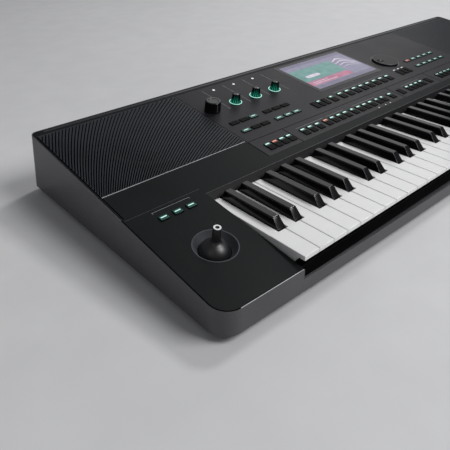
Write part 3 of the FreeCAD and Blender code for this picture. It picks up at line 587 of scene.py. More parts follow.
def brushed_metal(name, dark, pale, rough):
    """Metal with fine lines drawn out along X."""
    material, tree, here = new_finish(name)
    drawn = add(tree, "ShaderNodeMapping", {"Vector": here, "Scale": DRAWN}).outputs[0]
    lines = add(tree, "ShaderNodeTexNoise", {
        "Vector": drawn, "Scale": 1 / (DRAWN_LINE * MM), "Detail": DRAWN_DETAIL}).outputs["Fac"]
    tint = add(tree, "ShaderNodeMix", {
        "Factor": lines, "A": linear(dark), "B": linear(pale)}, data_type="RGBA").outputs["Result"]
    relief = add(tree, "ShaderNodeBump", {
        "Height": lines, "Strength": DRAWN_BUMP, "Distance": DRAWN_DEPTH * MM}).outputs[0]
    surface = add(tree, "ShaderNodeBsdfPrincipled", {
        "Base Color": tint, "Roughness": rough, "Metallic": 1.0, "Normal": relief}).outputs[0]
    add(tree, "ShaderNodeOutputMaterial", {"Surface": surface})
    return material


# Shine of a plastic's surface: 0.5 is plain plastic, lacquer takes it up and texture takes it down.
# Grains of about 1.5 mm are coarser than real ones, so that they show in the render.
SHEEN = 0.9
POLISH = 0.4
DULL = 0.25
FAINT = 0.12
BARE = 0.06
SHADED = 0.0

# Painted ABS tray: an even satin grey that catches a soft highlight along its edges
grey_paint = moulded(
    "painted_abs_satin_grey", "#434345", "#515154", grain=1.6, depth=0.10, gloss=(0.36, 0.44), edge=0.9)
# Edges of the cheeks and grilles: a thin pale grey line, a painted highlight where the edges catch the light
edge_highlight_paint = moulded(
    "painted_highlight_edge_pale_grey", "#b9babd", "#cdced1", grain=1.6, depth=0.05, gloss=(0.30, 0.36), edge=0.2)
# Spark-textured ABS top: almost black, dull, with a fine grain that scatters highlights
black_grain = moulded(
    "spark_textured_abs_black", "#0f1112", "#171a1b",
    grain=1.4, depth=0.22, gloss=(0.46, 0.56), edge=0.7, shine=FAINT)
# Control panel in the same ABS with a finer satin, so it looks a shade lighter
panel_satin = moulded(
    "satin_moulded_abs_charcoal", "#19181d", "#212025",
    grain=1.3, depth=0.12, gloss=(0.40, 0.50), edge=0.4, shine=DULL)
# Grille bars moulded with the finest grain, black between the slots
grille_bars = moulded(
    "fine_grain_abs_grille_black", "#222428", "#2e3136",
    grain=1.2, depth=0.12, gloss=(0.42, 0.52), edge=0.25, shine=DULL)
# White key tops: high-gloss ABS, even and neutral, with a clean reflection
key_white = moulded(
    "polished_abs_key_white", "#ebebeb", "#f1f1f1",
    grain=12.0, depth=0.01, gloss=(0.22, 0.28), edge=0.3, cloud=160.0, coat=0.1)
# Black keys: polished ABS whose edges shine
key_black = moulded(
    "polished_abs_key_black", "#08080b", "#0f0f13",
    grain=1.3, depth=0.02, gloss=(0.14, 0.18), edge=0.6, shine=POLISH)
# Button caps: satin ABS, black with hardly any sheen
cap_black = moulded(
    "satin_abs_button_black", "#050606", "#0a0b0b",
    grain=1.2, depth=0.08, gloss=(0.44, 0.52), edge=0.2, shine=BARE)
# Joystick dome and lever: satin ABS with one broad soft highlight
lever_satin = moulded(
    "satin_abs_lever_black", "#08090b", "#101114",
    grain=1.6, depth=0.01, gloss=(0.38, 0.42), edge=0.2, shine=SHEEN)
# Knobs: glossy ABS, near black, with bright lines along the ribs
knob_black = moulded(
    "gloss_abs_knob_black", "#08090a", "#101113", grain=1.4, depth=0.02, gloss=(0.14, 0.18), edge=0.2)
# Dial face: smooth satin, a shade darker than the panel
dial_satin = moulded(
    "satin_abs_dial_charcoal", "#0e0f11", "#15161a",
    grain=1.3, depth=0.04, gloss=(0.26, 0.32), edge=0.2, shine=FAINT)
# Joystick bowl: satin moulded ABS, shaded evenly round its dish
bowl_satin = moulded(
    "satin_abs_bowl_grey", "#434449", "#505156",
    grain=1.6, depth=0.06, gloss=(0.46, 0.52), edge=0.3, shine=FAINT)
# Screen cover: black-backed glass, nearly a mirror at a low angle
cover_glass = moulded(
    "black_backed_cover_glass", "#1c1b20", "#232227",
    grain=40.0, depth=0.0, gloss=(0.14, 0.20), edge=0.3, shine=DULL)
# Creases of the deck and the dial's chamfer: a thin pale line, a painted highlight where the fold catches the
# light
crease_highlight_satin = moulded(
    "painted_highlight_fold_charcoal", "#3a3b3f", "#47484d", grain=1.4, depth=0.05, gloss=(0.30, 0.36), edge=0.1)
# Rear edge of the deck: a soft grey line against the dark top, a painted highlight where the rounded edge
# catches the light
rear_highlight_satin = moulded(
    "painted_highlight_rear_edge_charcoal", "#242428", "#2e2e33", grain=1.4, depth=0.05, gloss=(0.34, 0.42), edge=0.2)
# Seams of the deck and panel: matt black strips laid over the gaps, a painted shadow that returns hardly any
# light
gap_shadow = moulded(
    "painted_shadow_seam_black", "#020203", "#050506",
    grain=1.4, depth=0.05, gloss=(0.70, 0.80), edge=0.1, shine=SHADED)
# Fascia behind the keys: the deck's grain in a deeper black, a painted shade, so the keys stand out before it
fascia_shade_black = moulded(
    "painted_shade_fascia_black", "#0c0c0f", "#131317",
    grain=1.4, depth=0.1, gloss=(0.40, 0.50), edge=0.2, shine=FAINT)
# Printed marks: matt pad-printing ink, a pale grey and a clean white
print_ink = moulded(
    "pad_printed_ink_grey", "#8e9092", "#a8aaac", grain=0.9, depth=0.04, gloss=(0.55, 0.65), edge=0.02)
bright_ink = moulded(
    "pad_printed_ink_white", "#e2e4e4", "#f4f5f5", grain=0.9, depth=0.04, gloss=(0.50, 0.60), edge=0.02)
# Rubber feet: matt moulded rubber, worn a little grey
foot_rubber = moulded(
    "moulded_rubber_black", "#131313", "#232323", grain=1.8, depth=0.25, gloss=(0.70, 0.85), edge=0.8)
# Silicone contact strip: milky grey, soft sheen
contact_silicone = moulded(
    "moulded_silicone_grey", "#7e8083", "#93969a", grain=1.5, depth=0.05, gloss=(0.45, 0.55))
# Felt strip: dark wool, quite dull, with a coarse fluff
stop_felt = moulded(
    "pressed_wool_felt_charcoal", "#1c1c1e", "#2e2e31", grain=1.1, depth=0.9, gloss=(0.90, 1.00))
# Circuit boards: solder mask over glass fibre, green and glossy
board_mask = moulded(
    "solder_mask_green", "#0f3d22", "#17532f", grain=3.0, depth=0.08, gloss=(0.25, 0.35), coat=0.3)
# Speaker cones: pressed paper, black and fibrous, all but lost behind the slots
cone_paper = moulded(
    "pressed_paper_cone_black", "#08080a", "#101012", grain=1.6, depth=0.5, gloss=(0.80, 0.95), shine=FAINT)
# Speaker baskets, key bed and potentiometers: steel under black powder coat, slightly pebbled
basket_coat = moulded(
    "powder_coated_steel_black", "#08080a", "#111113", grain=1.5, depth=0.35, gloss=(0.55, 0.70), shine=FAINT)
# Sockets, power button, display frame and the joystick's inner frame: matt ABS, black
socket_abs = moulded(
    "matt_abs_socket_black", "#17181a", "#25272a", grain=1.4, depth=0.12, gloss=(0.50, 0.60), edge=0.3)
# Rod and springs: bare zinc-plated steel, bright along its drawn lines
zinc_plate = brushed_metal("zinc_plated_steel", "#8c8f93", "#b4b7ba", rough=0.38)
# Screws: blackened steel, a dark soft gleam
black_steel = brushed_metal("blackened_steel", "#2a2a2c", "#3c3c3f", rough=0.42)
# Index stripe: anodised aluminium, bright and fine
trim_metal = brushed_metal("anodised_aluminium_bright", "#b4b6b9", "#d6d8da", rough=0.32)
# Lights: polycarbonate lenses over the lamps, brightest in the middle, with smoked ones round them
mint_light = lit("lit_polycarbonate_mint", "#e6fffa", "#b9f8ea", strength=1.05)
# Printed white dots: a painted glow, not a lamp
dot_glow_white = lit("printed_dot_painted_glow_white", "#ffffff", "#e8ecec", strength=0.95)
mint_glow = lit("smoked_polycarbonate_green", "#2c8f7d", "#1d6a5c", strength=0.26)
red_light = lit("lit_polycarbonate_coral", "#ffb09a", "#f08a72", strength=1.0)
red_glow = lit("smoked_polycarbonate_red", "#8f4a3b", "#6a3428", strength=0.55)
ring_light = lit("lit_polycarbonate_ring_mint", "#c4fff1", "#83eed5", strength=1.0, grain=2.4)
# Small knob bodies: the ring's green light on them is painted on as a glow
ring_glow_knob = lit_knob("knob_abs_painted_ring_glow_green", "#06100e", "#0c1816", "#129a7e", reach=13.0)
# Picture on the display: light through a liquid crystal panel, in plain blocks
picture_lavender = lit("liquid_crystal_lavender", "#918da8", "#827e9a", strength=0.8, grain=9.0)
picture_teal = lit("liquid_crystal_teal", "#6da19d", "#578d86", strength=0.8, grain=12.0)
picture_pink = lit("liquid_crystal_pink", "#c67c9a", "#b2657f", strength=0.8, grain=12.0)
picture_white = lit("liquid_crystal_white", "#e0d8e4", "#c9bfd2", strength=0.85, grain=6.0)
picture_violet = lit("liquid_crystal_violet", "#78748e", "#6c6883", strength=0.8, grain=9.0)

CAD_FINISHES = {
    "bottom_case": grey_paint, "top_case": black_grain, "control_panel": panel_satin,
    "speaker_grille_left": grille_bars, "speaker_grille_right": grille_bars,
    "speaker_baskets": basket_coat, "speaker_cones": cone_paper, "key_bed": basket_coat,
    "key_pivot_rod": zinc_plate, "key_stop_felts": stop_felt, "key_contact_board": board_mask,
    "key_contact_rubber": contact_silicone, "key_return_springs": zinc_plate, "main_board": board_mask,
    "panel_board": board_mask, "power_amp_board": board_mask, "display_panel": socket_abs,
    "rear_jacks": socket_abs, "rubber_feet": foot_rubber, "case_screws": black_steel,
    "joystick_base": socket_abs, "joystick_gimbal": socket_abs, "potentiometers": basket_coat,
    "power_switch": socket_abs,
}
for node, finish in CAD_FINISHES.items():
    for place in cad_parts[node].material_slots:
        place.material = finish


# Keys

def white_key(octave, index, last=False):
    """A white key's stacks: the plan of head and tail with a rounded rim, the stem and walls under it."""
    left = KEY_LEFT + octave * OCTAVE
    h0, h1 = left + index * WHITE_PITCH + KEY_GAP, left + (index + 1) * WHITE_PITCH - KEY_GAP
    slot = WHITES[index]
    t0, t1 = left + slot * TAIL_PITCH + KEY_GAP, left + (slot + 1) * TAIL_PITCH - KEY_GAP
    if index == E_INDEX or last:
        t1 = h1
    if index == F_INDEX or last:
        t0 = h0
    t0, t1 = max(t0, h0 + NOTCH), min(t1, h1 - NOTCH)
    y0, y1, y2 = KEY_FRONT, KEY_FRONT + HEAD_LENGTH, KEY_FRONT + KEY_LENGTH
    plan = [(h0, y0), (h1, y0), (h1, y1), (t1, y1), (t1, y2), (t0, y2), (t0, y1), (h0, y1)]
    low = WHITE_TOP - WHITE_LIP
    levels = np.concatenate([[[WHITE_EDGE / 2, low], [0, low + WHITE_EDGE / 2]],
                             soft_levels(low + WHITE_EDGE, WHITE_TOP, WHITE_EDGE)])
    y3, y4 = KEY_FRONT + SKIRT_FRONT, KEY_FRONT + SKIRT_END
    head = [(y3, low + NOTCH), (y3 + SKIRT_SLOPE, SKIRT_BOTTOM), (y1, SKIRT_BOTTOM), (y1, low + NOTCH)]
    tail = [(y1, low + NOTCH), (y1, SKIRT_BOTTOM), (y4, SKIRT_BOTTOM), (y4, low + NOTCH)]
    walls = [side_wall(head, h0), side_wall(head, h1 - SKIRT),
             side_wall(tail, t0), side_wall(tail, t1 - SKIRT)]
    return [polygon_block(plan, levels), stem(left + (slot + 0.5) * TAIL_PITCH, STEM_START)] + walls


def side_wall(outline, x):
    """A thin wall under a key's edge: its side view (y, z) drawn out along x."""
    levels = [(SKIRT_EDGE, x), (0.0, x + SKIRT_EDGE), (0.0, x + SKIRT - SKIRT_EDGE), (SKIRT_EDGE, x + SKIRT)]
    return polygon_block(outline, levels)[..., [2, 0, 1]]


def stem(centre, start):
    """The web under a key, back to its pivot."""
    along, length = KEY_FRONT + (start + KEY_LENGTH) / 2, KEY_LENGTH - start
    levels = [(STEM_EDGE, STEM_BOTTOM), (0.0, STEM_BOTTOM + STEM_EDGE), (0.0, WHITE_TOP - WHITE_LIP)]
    return rounded_block(centre, along, 2 * STEM_HALF, length, levels, STEM_CORNER)


def black_key(octave, slot):
    """A black key's stacks: rings that draw in towards the crest, its tail and its stem."""
    centre = KEY_LEFT + octave * OCTAVE + (slot + 0.5) * TAIL_PITCH
    base, top = WHITE_TOP - BLACK_SINK, WHITE_TOP + BLACK_HEIGHT
    y0, y1 = KEY_FRONT + BLACK_START, KEY_FRONT + BLACK_END
    climb = (top - BLACK_EDGE - base) / (top - base)
    turn = np.linspace(0, math.pi / 2, num=5)[1:]
    share = np.concatenate([[0.0, 0.5, climb], 1 - (1 - climb) * (1 - np.sin(turn)), [1.0]])
    inset = BLACK_EDGE * np.concatenate([[0.0, 0.0, 0.0], 1 - np.cos(turn), [BLACK_FLAT_SHARE]])
    full = BLACK_FULL_SHARE * BLACK_EDGE * (share > climb)
    half = (BLACK_FOOT + share * (BLACK_CREST - BLACK_FOOT)) / 2 - inset + full
    nose, heel = y0 + share * BLACK_NOSE + inset, y1 - share * BLACK_TAIL - inset
    height = base + share * (top - base)
    rings = [at_height(rounded_outline(2 * h, b - a, BLACK_CORNER) + [centre, (a + b) / 2], z)
             for h, a, b, z in zip(half, nose, heel, height)]
    y2, low = KEY_FRONT + KEY_LENGTH, WHITE_TOP - WHITE_LIP
    levels = [(BLACK_TAIL_EDGE, low), (0, low + BLACK_TAIL_EDGE), (0, base)]
    tail = rounded_block(centre, (y0 + y2) / 2, BLACK_FOOT, y2 - y0, levels, STEM_CORNER)
    return [np.array(rings), tail, stem(centre, BLACK_START)]


def build_keys():
    """Keys of the lowest octave one by one, the other octaves as a white and a black piece each."""
    for octave in range(OCTAVES):
        whites, blacks = [], []
        for slot, name in enumerate(SLOT_NAMES):
            white = slot in WHITES
            stacks = white_key(octave, WHITES.index(slot)) if white else black_key(octave, slot)
            if octave == 0:
                piece(f"keytop_{name}", stacks, f"key_{name}",
                      key_white if white else key_black, [f"key_{name}"], place=upright)
            else:
                (whites if white else blacks).extend(stacks)
        if octave:
            if octave == OCTAVES - 1:
                whites += white_key(OCTAVES, 0, last=True)
            group = f"keys_octave_{octave + 1}"
            piece(f"{group}_white", whites, group, key_white, [group], place=upright)
            piece(f"{group}_black", blacks, group, key_black, [group], place=upright)


# Buttons

def lens(x, v, width, length, top, lift):
    """A small rounded slab let into a cap and standing a little proud of it."""
    corner = min(min(width, length) * LENS_CORNER_SHARE, LENS_CORNER)
    return rounded_block(x, v, width, length, soft_levels(top - LENS_SINK, top + lift, lift), corner)


def cap_lights(kind, cap, top):
    """One button's lenses and glowing patch: tall caps carry them at the rear, wide ones in the middle."""
    x0, x1, v0, v1 = cap
    x, width, length = (x0 + x1) / 2, x1 - x0, v1 - v0
    tall = length > width
    v = v1 - LIGHT_FROM_REAR if tall else (v0 + v1) / 2 + LIGHT_OFF_MIDDLE
    patch = (width - GLOW_MARGIN, GLOW_LENGTH if tall else length - GLOW_MARGIN)
    patch_v = v1 - GLOW_FROM_REAR - patch[1] / 2 if tall else (v0 + v1) / 2
    if kind == "d":
        lenses = [lens(x + side * width * PAIR_SHARE, v, *PAIR, top, LENS_LIFT) for side in SIDES]
    elif kind == "s":
        lenses = [lens(x, v, *SQUARE, top, LENS_LIFT)]
    else:
        bar = (min(width * BAR_SHARE, BAR_MOST), BAR_ON_TALL if tall else BAR_ON_WIDE)
        lenses = [lens(x, v, *bar, top, LENS_LIFT)]
    return lenses, [lens(x, patch_v, *patch, top, GLOW_LIFT)]


def build_buttons():
    """Every group of caps as one piece, with its lit lenses and glowing patches riding on the same body."""
    for group, pattern in LIGHTS.items():
        caps, top = caps_of(group)
        levels = np.concatenate([[[-CAP_LIP, FLANGE_BOTTOM], [-CAP_LIP, FLANGE_TOP], [0.0, FLANGE_TOP]],
                                 soft_levels(FLANGE_TOP + CAP_EDGE, top, CAP_EDGE)])
        blocks = [rounded_block((x0 + x1) / 2, (v0 + v1) / 2, x1 - x0, v1 - v0, levels, CAP_CORNER)
                  for x0, x1, v0, v1 in caps]
        piece(f"{group}_caps", blocks, group, cap_black, [group])
        parts = {"mint": ([], [], mint_light, mint_glow), "red": ([], [], red_light, red_glow)}
        for kind, cap in zip(pattern, caps):
            if kind != ".":
                lenses, patches = cap_lights(kind, cap, top)
                lamps, glows = parts["red" if kind == "r" else "mint"][:2]
                lamps += lenses
                glows += patches
        for colour, (lamps, glows, light, glow) in parts.items():
            if lamps:
                piece(f"{group}_lens_{colour}", lamps, group, light)
                piece(f"{group}_glow_{colour}", glows, group, glow)


# Knobs, dial and joystick

def knob_profile(radius, crown, low, high, edge, flare):
    """Profile (radius, height) of a knob on its shaft: a foot that flares by a cube law, and a round rim."""
    turn = np.linspace(0, math.pi / 2, num=4)
    rim = np.stack([crown - edge * (1 - np.cos(turn)), high - edge * (1 - np.sin(turn))], 1)
    inner = [(crown * CROWN_STEP_SHARES[0], high), (crown * CROWN_STEP_SHARES[1], high - CROWN_SINK[0]),
             (AXIS, high - CROWN_SINK[1])]
    climb = np.linspace(0, 1, num=7)[:-1]
    sides = np.stack([radius + (crown - radius) * climb + flare * (1 - climb) ** 3,
                      low + KNOB_HEM + (high - edge - low - KNOB_HEM) * climb], 1)
    foot = [(SHAFT, SHAFT_BOTTOM), (SHAFT, low), (radius + flare - KNOB_HEM, low)]
    return np.concatenate([foot, sides, rim, inner])


def index_stripe(x, v, radius, crown, low, high, width):
    """A thin bar let into a knob's side, pointing along the index direction."""
    out = np.array([math.cos(INDEX), math.sin(INDEX)])
    side = np.array([-out[1], out[0]]) * width / 2
    rings = []
    for share in np.linspace(STRIPE_START_SHARE, 1.0, num=6):
        reach = radius + (crown - radius) * share
        near, far = out * (reach - STRIPE_IN), out * (reach + STRIPE_OUT)
        corners = np.array([near - side, far - side, far + side, near + side]) + [x, v]
        rings.append(at_height(corners, low + (high - low) * share))
    return np.array(rings)


def knob_ribs(x, v, radius, flare, low, high, count, width, deep):
    """Bars round a knob: each climbs along the flared profile, deep in at its back and rounded off on top."""
    share = np.linspace(0, 1, num=9)
    reach = radius + flare * (1 - share) ** 3 - RIB_CROWN * share ** RIB_CROWN_LAW
    height = np.broadcast_to((low + (high - low) * share)[:, None, None], (len(share), 4, 1))
    bars = []
    for angle in np.arange(count) * 2 * math.pi / count:
        out = np.array([math.cos(angle), math.sin(angle)])
        side = np.array([-math.sin(angle), math.cos(angle)]) * width / 2
        back, front = (reach - deep)[:, None] * out, reach[:, None] * out
        face = RIB_FACE_SHARE * side
        corners = np.stack([back - side, front - face, front + face, back + side], 1) + [x, v]
        bars.append(np.concatenate([corners, height], 2))
    return bars


def pointer(x, v, low, thick):
    """A rounded bar lying along the index direction on a knob's top."""
    edge = thick * POINTER_EDGE_SHARE
    corner = POINTER_WIDTH * POINTER_CORNER_SHARE
    flat = rounded_block(0.0, 0.0, POINTER_LENGTH, POINTER_WIDTH, soft_levels(0.0, thick, edge), corner)
    out = np.array([math.cos(INDEX), math.sin(INDEX), 0])
    turn = np.array([out, [-out[1], out[0], 0], [0, 0, 1]])
    return flat @ turn + [x, v, low] + out * POINTER_OUT


def build_volume_knob():
    """The volume knob: a turned body, upright ribs round it and a bright index on its side."""
    x, v = middle("volume_knob")
    high = extent("volume_knob")[1][2]
    ribs = knob_ribs(x, v, high=high - VOLUME_RIB_DROP, **VOLUME_RIB)
    core = turned(knob_profile(high=high, **VOLUME_CORE), x, v, steps=144)
    piece("volume_knob_cap", [core] + ribs, "volume_knob", knob_black, ["volume_knob"])
    stripe = index_stripe(x, v, high=high - VOLUME_STRIPE_DROP, **VOLUME_STRIPE)
    piece("volume_knob_index", [stripe], "volume_knob", trim_metal)


def build_assign_knobs():
    """The small knobs: a core with the ring's light painted on as a glow, dark ribs and lid over it, and a
    pointer on the lid.
    """
    for node in SMALL_KNOBS:
        x, v = middle(node)
        high = extent(node)[1][2]
        core = turned(knob_profile(high=high - SMALL_CORE_DROP, **SMALL_CORE), x, v, steps=72)
        piece(f"{node}_core", [core], node, ring_glow_knob, [node])
        ribs = knob_ribs(x, v, high=high, **SMALL_RIB)
        levels = soft_levels(high - LID_BOTTOM, high - LID_TOP, LID_EDGE)
        lid = rounded_block(x, v, LID_WIDTH, LID_WIDTH, levels, LID_CORNER)
        piece(f"{node}_ribs", ribs + [lid], node, knob_black, [node])
        piece(f"{node}_index", [pointer(x, v, high - LID_TOP, LID_TOP)], node, bright_ink)


def build_light_rings():
    """Rings round the small knobs: a rounded profile turned about each knob's axis."""
    low = extent("knob_light_rings")[0][2]
    turn = np.linspace(0, 2 * math.pi, num=16, endpoint=False)
    profile = np.stack([RING_RADIUS + RING_HALF * np.cos(turn), low + RING_RISE * (1 + np.sin(turn))], 1)
    stacks = [turned(profile, *middle(node)) for node in SMALL_KNOBS]
    piece("knob_light_ring_lenses", stacks, "case", ring_light, ["knob_light_rings"], loop=True)


def build_dial():
    """The dial: a turned disc whose top sinks in a smooth round dimple, a pale ring on its chamfer that is a
    painted highlight, and a black ring round it that is a painted shadow of the gap.
    """
    x, v = middle("data_dial")
    low, high = extent("data_dial")
    top, radius = high[2], (high[0] - low[0]) / 2
    rim = [(SHAFT, low[2]), (SHAFT, DIAL_LOW), (radius - DIAL_HEM, DIAL_LOW), (radius, DIAL_LOW + DIAL_HEM)]
    rim += [(radius - inset, top - drop) for inset, drop in DIAL_RIM]
    face = [(r, top) for r in np.linspace(radius - DIAL_FACE_INSET, DIAL_FACE_END, num=26)]
    stack = turned(rim + face, x, v, steps=96)
    disc = stack[len(rim):]
    away = np.hypot(disc[..., 0] - x + DIMPLE_OUT, disc[..., 1] - v) / DIMPLE_RADIUS
    disc[..., 2] -= DIMPLE_DEPTH * np.clip(1 - away ** 2, 0, None) ** DIMPLE_LAW
    piece("data_dial_disc", [stack], "data_dial", dial_satin, ["data_dial"])
    chamfer = turned([(radius - inset, top + rise) for inset, rise in CHAMFER], x, v, steps=96)
    # Pale ring over the dial's chamfer: a painted highlight
    piece("data_dial_chamfer_highlight", [chamfer], "data_dial", crease_highlight_satin, loop=True)
    # Black ring round the dial: a painted shadow of its gap
    dial_gap_ring = turned([(radius + out, height) for out, height in DIAL_GAP_SHADOW], x, v, steps=96)
    piece("data_dial_gap_shadow", [dial_gap_ring], "case", knob_black, loop=True)


def build_joystick():
    """Dish with a rolled rim, and a stick on a dome, all turned about the stick's axis."""
    x, v = middle("joystick_bowl")
    climb = np.linspace(0, 1, num=8)
    dish = np.stack([DISH_INNER + DISH_WIDTH * climb, DISH_BOTTOM + DISH_RISE * climb ** DISH_LAW], 1)
    outside = [(DISH_INNER, BOWL_FLOOR), (BOWL_INNER, BOWL_FLOOR), (BOWL_INNER, BOWL_BOTTOM),
               (BOWL_OUTER, BOWL_BOTTOM), (BOWL_OUTER, 0.0)]
    bowl = np.concatenate([outside, BOWL_RIM, dish[::-1]])
    piece("joystick_dish", [turned(bowl, x, v, steps=96)], "case", bowl_satin, ["joystick_bowl"],
          loop=True)
    hollow = BALL - BALL_WALL
    inner = np.linspace(math.acos(BORE / hollow), math.asin(-BALL_SKIRT / hollow), num=10)
    outer = np.linspace(math.asin(-BALL_SKIRT / BALL), math.acos(NECK_FOOT / BALL), num=18)
    under = np.stack([hollow * np.cos(inner), PIVOT + hollow * np.sin(inner)], 1)
    over = np.stack([BALL * np.cos(outer), PIVOT + BALL * np.sin(outer)], 1)
    flare = np.linspace(0, 1, num=7)[1:]
    neck = np.stack([NECK + (NECK_FOOT - NECK) * (1 - flare) ** 2, over[-1, 1] + NECK_RISE * flare], 1)
    tip = [(radius, STICK_TOP - drop) for radius, drop in STICK_TIP]
    bore = [(BORE, PIVOT - BALL_SKIRT), (BORE, PIVOT + BORE_TOP)]
    profile = np.concatenate([bore, under, over, neck, tip])
    piece("joystick_lever", [turned(profile, x, v, steps=72)], "joystick_stick", lever_satin,
          ["joystick_stick"])
    ring = turned([(radius, STICK_TOP - drop) for radius, drop in STICK_RING], x, v, steps=48)
    piece("joystick_ring", [ring], "joystick_stick", bright_ink, loop=True)


# Screen and printed marks

def ribbon(x0, x1, v, rise, width):
    """A curved band in the picture: a sine swings its middle line up by the rise, and its ends taper."""
    along = np.linspace(0, 1, num=14)
    centre = v + rise * np.sin(RIBBON_SWING * along) * along
    half = width * (RIBBON_END_SHARE + np.sin(math.pi * along)) / 2
    x = x0 + (x1 - x0) * along
    rim = np.concatenate([np.stack([x, centre - half], 1), np.stack([x, centre + half], 1)[::-1]])
    return np.array([at_height(rim, height) for height in (SLAB_SINK, BLOCK_TOP)])


def build_screen():
    """Cover glass with a picture of plain blocks shown just at its surface."""
    low, high = extent("display_glass")
    x, v = middle("display_glass")
    levels = soft_levels(low[2], high[2], GLASS_EDGE)
    cover = rounded_block(x, v, high[0] - low[0], high[1] - low[1], levels, GLASS_CORNER)
    piece("display_cover", [cover], "case", cover_glass, ["display_glass"])
    left, right, front, rear = np.array(PICTURE) + [x, x, v, v]
    split = left + SPLIT
    blocks = {
        "display_picture": (right, front, rear, PICTURE_TOP, picture_lavender),
        "display_footer": (right, front, front + FOOTER, BLOCK_TOP, picture_violet),
        "display_header": (right, rear - HEADER, rear, BLOCK_TOP, picture_violet),
        "display_band": (split, front + BAND_FRONT, rear - BAND_FROM_REAR, BLOCK_TOP, picture_teal),
        "display_bar": (split, front + BAR_FRONT, front + BAR_REAR, BLOCK_TOP, picture_pink),
    }
    for name, (*block, finish) in blocks.items():
        piece(name, [slab(left, *block)], "case", finish)
    streaks = [ribbon(split + RIBBON_LEFT, right - RIBBON_RIGHT, front + start, rise, width)
               for start, rise, width in RIBBONS]
    corner = np.array([left, left, front, front])
    streaks.append(slab(*(corner + PILL), MARK_TOP, PILL_CORNER))
    streaks += [slab(*(corner + stroke), MARK_TOP) for stroke in STROKES]
    piece("display_streaks", streaks, "case", picture_white)


def build_print():
    """Thin printed rules, the white dots over the small knobs and the white spots: print, with the dots given
    a painted glow.
    """
    places = [middle(node) for node in SMALL_KNOBS]
    pitch = places[1][0] - places[0][0]
    between = [places[0][0] - pitch / 2] + [x + pitch / 2 for x, v in places]
    lines = [strip(x, RULE_HALF, RULE_ROW, FILM, RULE_CORNER) for x in between]
    # Printed white dots, given a painted glow
    dots = [slab(x - KNOB_DOT_WIDTH, x, KNOB_DOT_FRONT, KNOB_DOT_REAR, KNOB_DOT_TOP, KNOB_DOT_CORNER) for x, v in places]
    dots += [strip(x, SPOT_HALF, SPOT_ROW, FILM, SPOT_CORNER) for x in SPOT_PLACES]
    dots += [slab(x0 + SIGN_INSET, x1 - SIGN_INSET, v1 + SIGN_FRONT, v1 + SIGN_REAR, FILM, SIGN_CORNER)
             for x0, x1, v0, v1 in caps_of("buttons_navigation")[0]]
    for group, first, last in RULED:
        caps = caps_of(group)[0]
        v = caps[first][3] + ROW_RULE_OFF
        row = (v - ROW_RULE_HALF, v + ROW_RULE_HALF)
        lines.append(slab(caps[first][0], caps[last][1], *row, FILM, THIN_CORNER))
    lines += [slab(*box, FILM, THIN_CORNER) for box in BRACKET]
    piece("printed_rules", lines, "case", print_ink)
    piece("printed_dots_painted_glow", dots, "case", dot_glow_white)
    piece("sensor_window", [slab(*WINDOW, WINDOW_TOP, WINDOW_CORNER)], "case", knob_black)


def edge_seam(side):
    """A painted shadow line along a cheek's outer edge: straight, then a quarter circle round the front
    corner.
    """
    turn = np.linspace(0, math.pi / 2, num=14)
    edges = []
    for inset in EDGE_SEAM_INSETS:
        reach = CORNER - inset
        bend = [BOW_HALF + reach * np.cos(turn), (CORNER - reach * np.sin(turn)) / math.cos(SLOPE)]
        edges.append(np.concatenate([[[BOW_HALF + reach, EDGE_SEAM_END]], np.stack(bend, 1)]) * [side, 1])
    rim = np.concatenate([edges[0], edges[1][::-1]])[::-side]
    return np.array([at_height(rim, height) for height in (SLAB_SINK, FILM)])


def front_edge_highlight(side):
    """A painted highlight along a cheek's front edge, which bows out by a square law."""
    x = np.sort(side * np.linspace(CHEEK_INNER, BOW_HALF, num=12))
    edge = -FRONT_BOW * (1 - (x / BOW_HALF) ** 2)
    near, far = [np.stack([x, edge + inset], 1) for inset in FRONT_HIGHLIGHT_ROW]
    rim = np.concatenate([near, far[::-1]])
    return np.array([at_height(rim, height) for height in FRONT_HIGHLIGHT_HEIGHTS])


def fascia_shade_skin():
    """The fascia's skin, a sheet in a painted shade: its slanting side view (y, z) drawn out along x."""
    y0, y1 = KEY_FRONT + FASCIA_FRONT, KEY_FRONT + FASCIA_REAR
    z0, z1 = FASCIA_BOTTOM, FRONT_HEIGHT + (y1 - FRONT_Y) * math.tan(SLOPE) - FASCIA_SKIN
    view = [(y0 - FASCIA_SKIN, z0), (y0 + FASCIA_FOOT, z0),
            (y1 + FASCIA_HEAD, z1), (y1 - 2 * FASCIA_SKIN, z1)]
    half = CHEEK_INNER - FASCIA_GAP
    return polygon_block(view, [(0.0, -half), (0.0, half)])[..., [2, 0, 1]]


def build_seams():
    """Painted highlights along the deck's creases, painted shadow in its seams, and the fascia's skin in a
    painted shade.
    """
    # Pale lines at the deck's creases and the fascia's top edge: painted highlights
    creases = [strip(side * CREASE_MIDDLE, CREASE_HALF, CREASE_ROW, CREASE_TOP, THIN_CORNER)
               for side in SIDES]
    creases.append(strip(0.0, CHEEK_INNER, FASCIA_CREASE_ROW, CREASE_TOP, THIN_CORNER))
    piece("deck_crease_highlights", creases, "case", crease_highlight_satin)
    # Black strips in the seams, grooves and along the cheek edges: painted shadow
    seams = [strip(side * SEAM_PLACE, SEAM_HALF, SEAM_ROW, CREASE_TOP, RULE_CORNER) for side in SIDES]
    seams += [strip(x, STRIP_SEAM_HALF, STRIP_SEAM_ROW, FILM, RULE_CORNER) for x in STRIP_SEAMS]
    seams += [edge_seam(side) for side in SIDES]
    piece("deck_seam_shadows", seams, "case", gap_shadow)
    piece("fascia_shade_skin", [fascia_shade_skin()], "case", fascia_shade_black, place=upright)


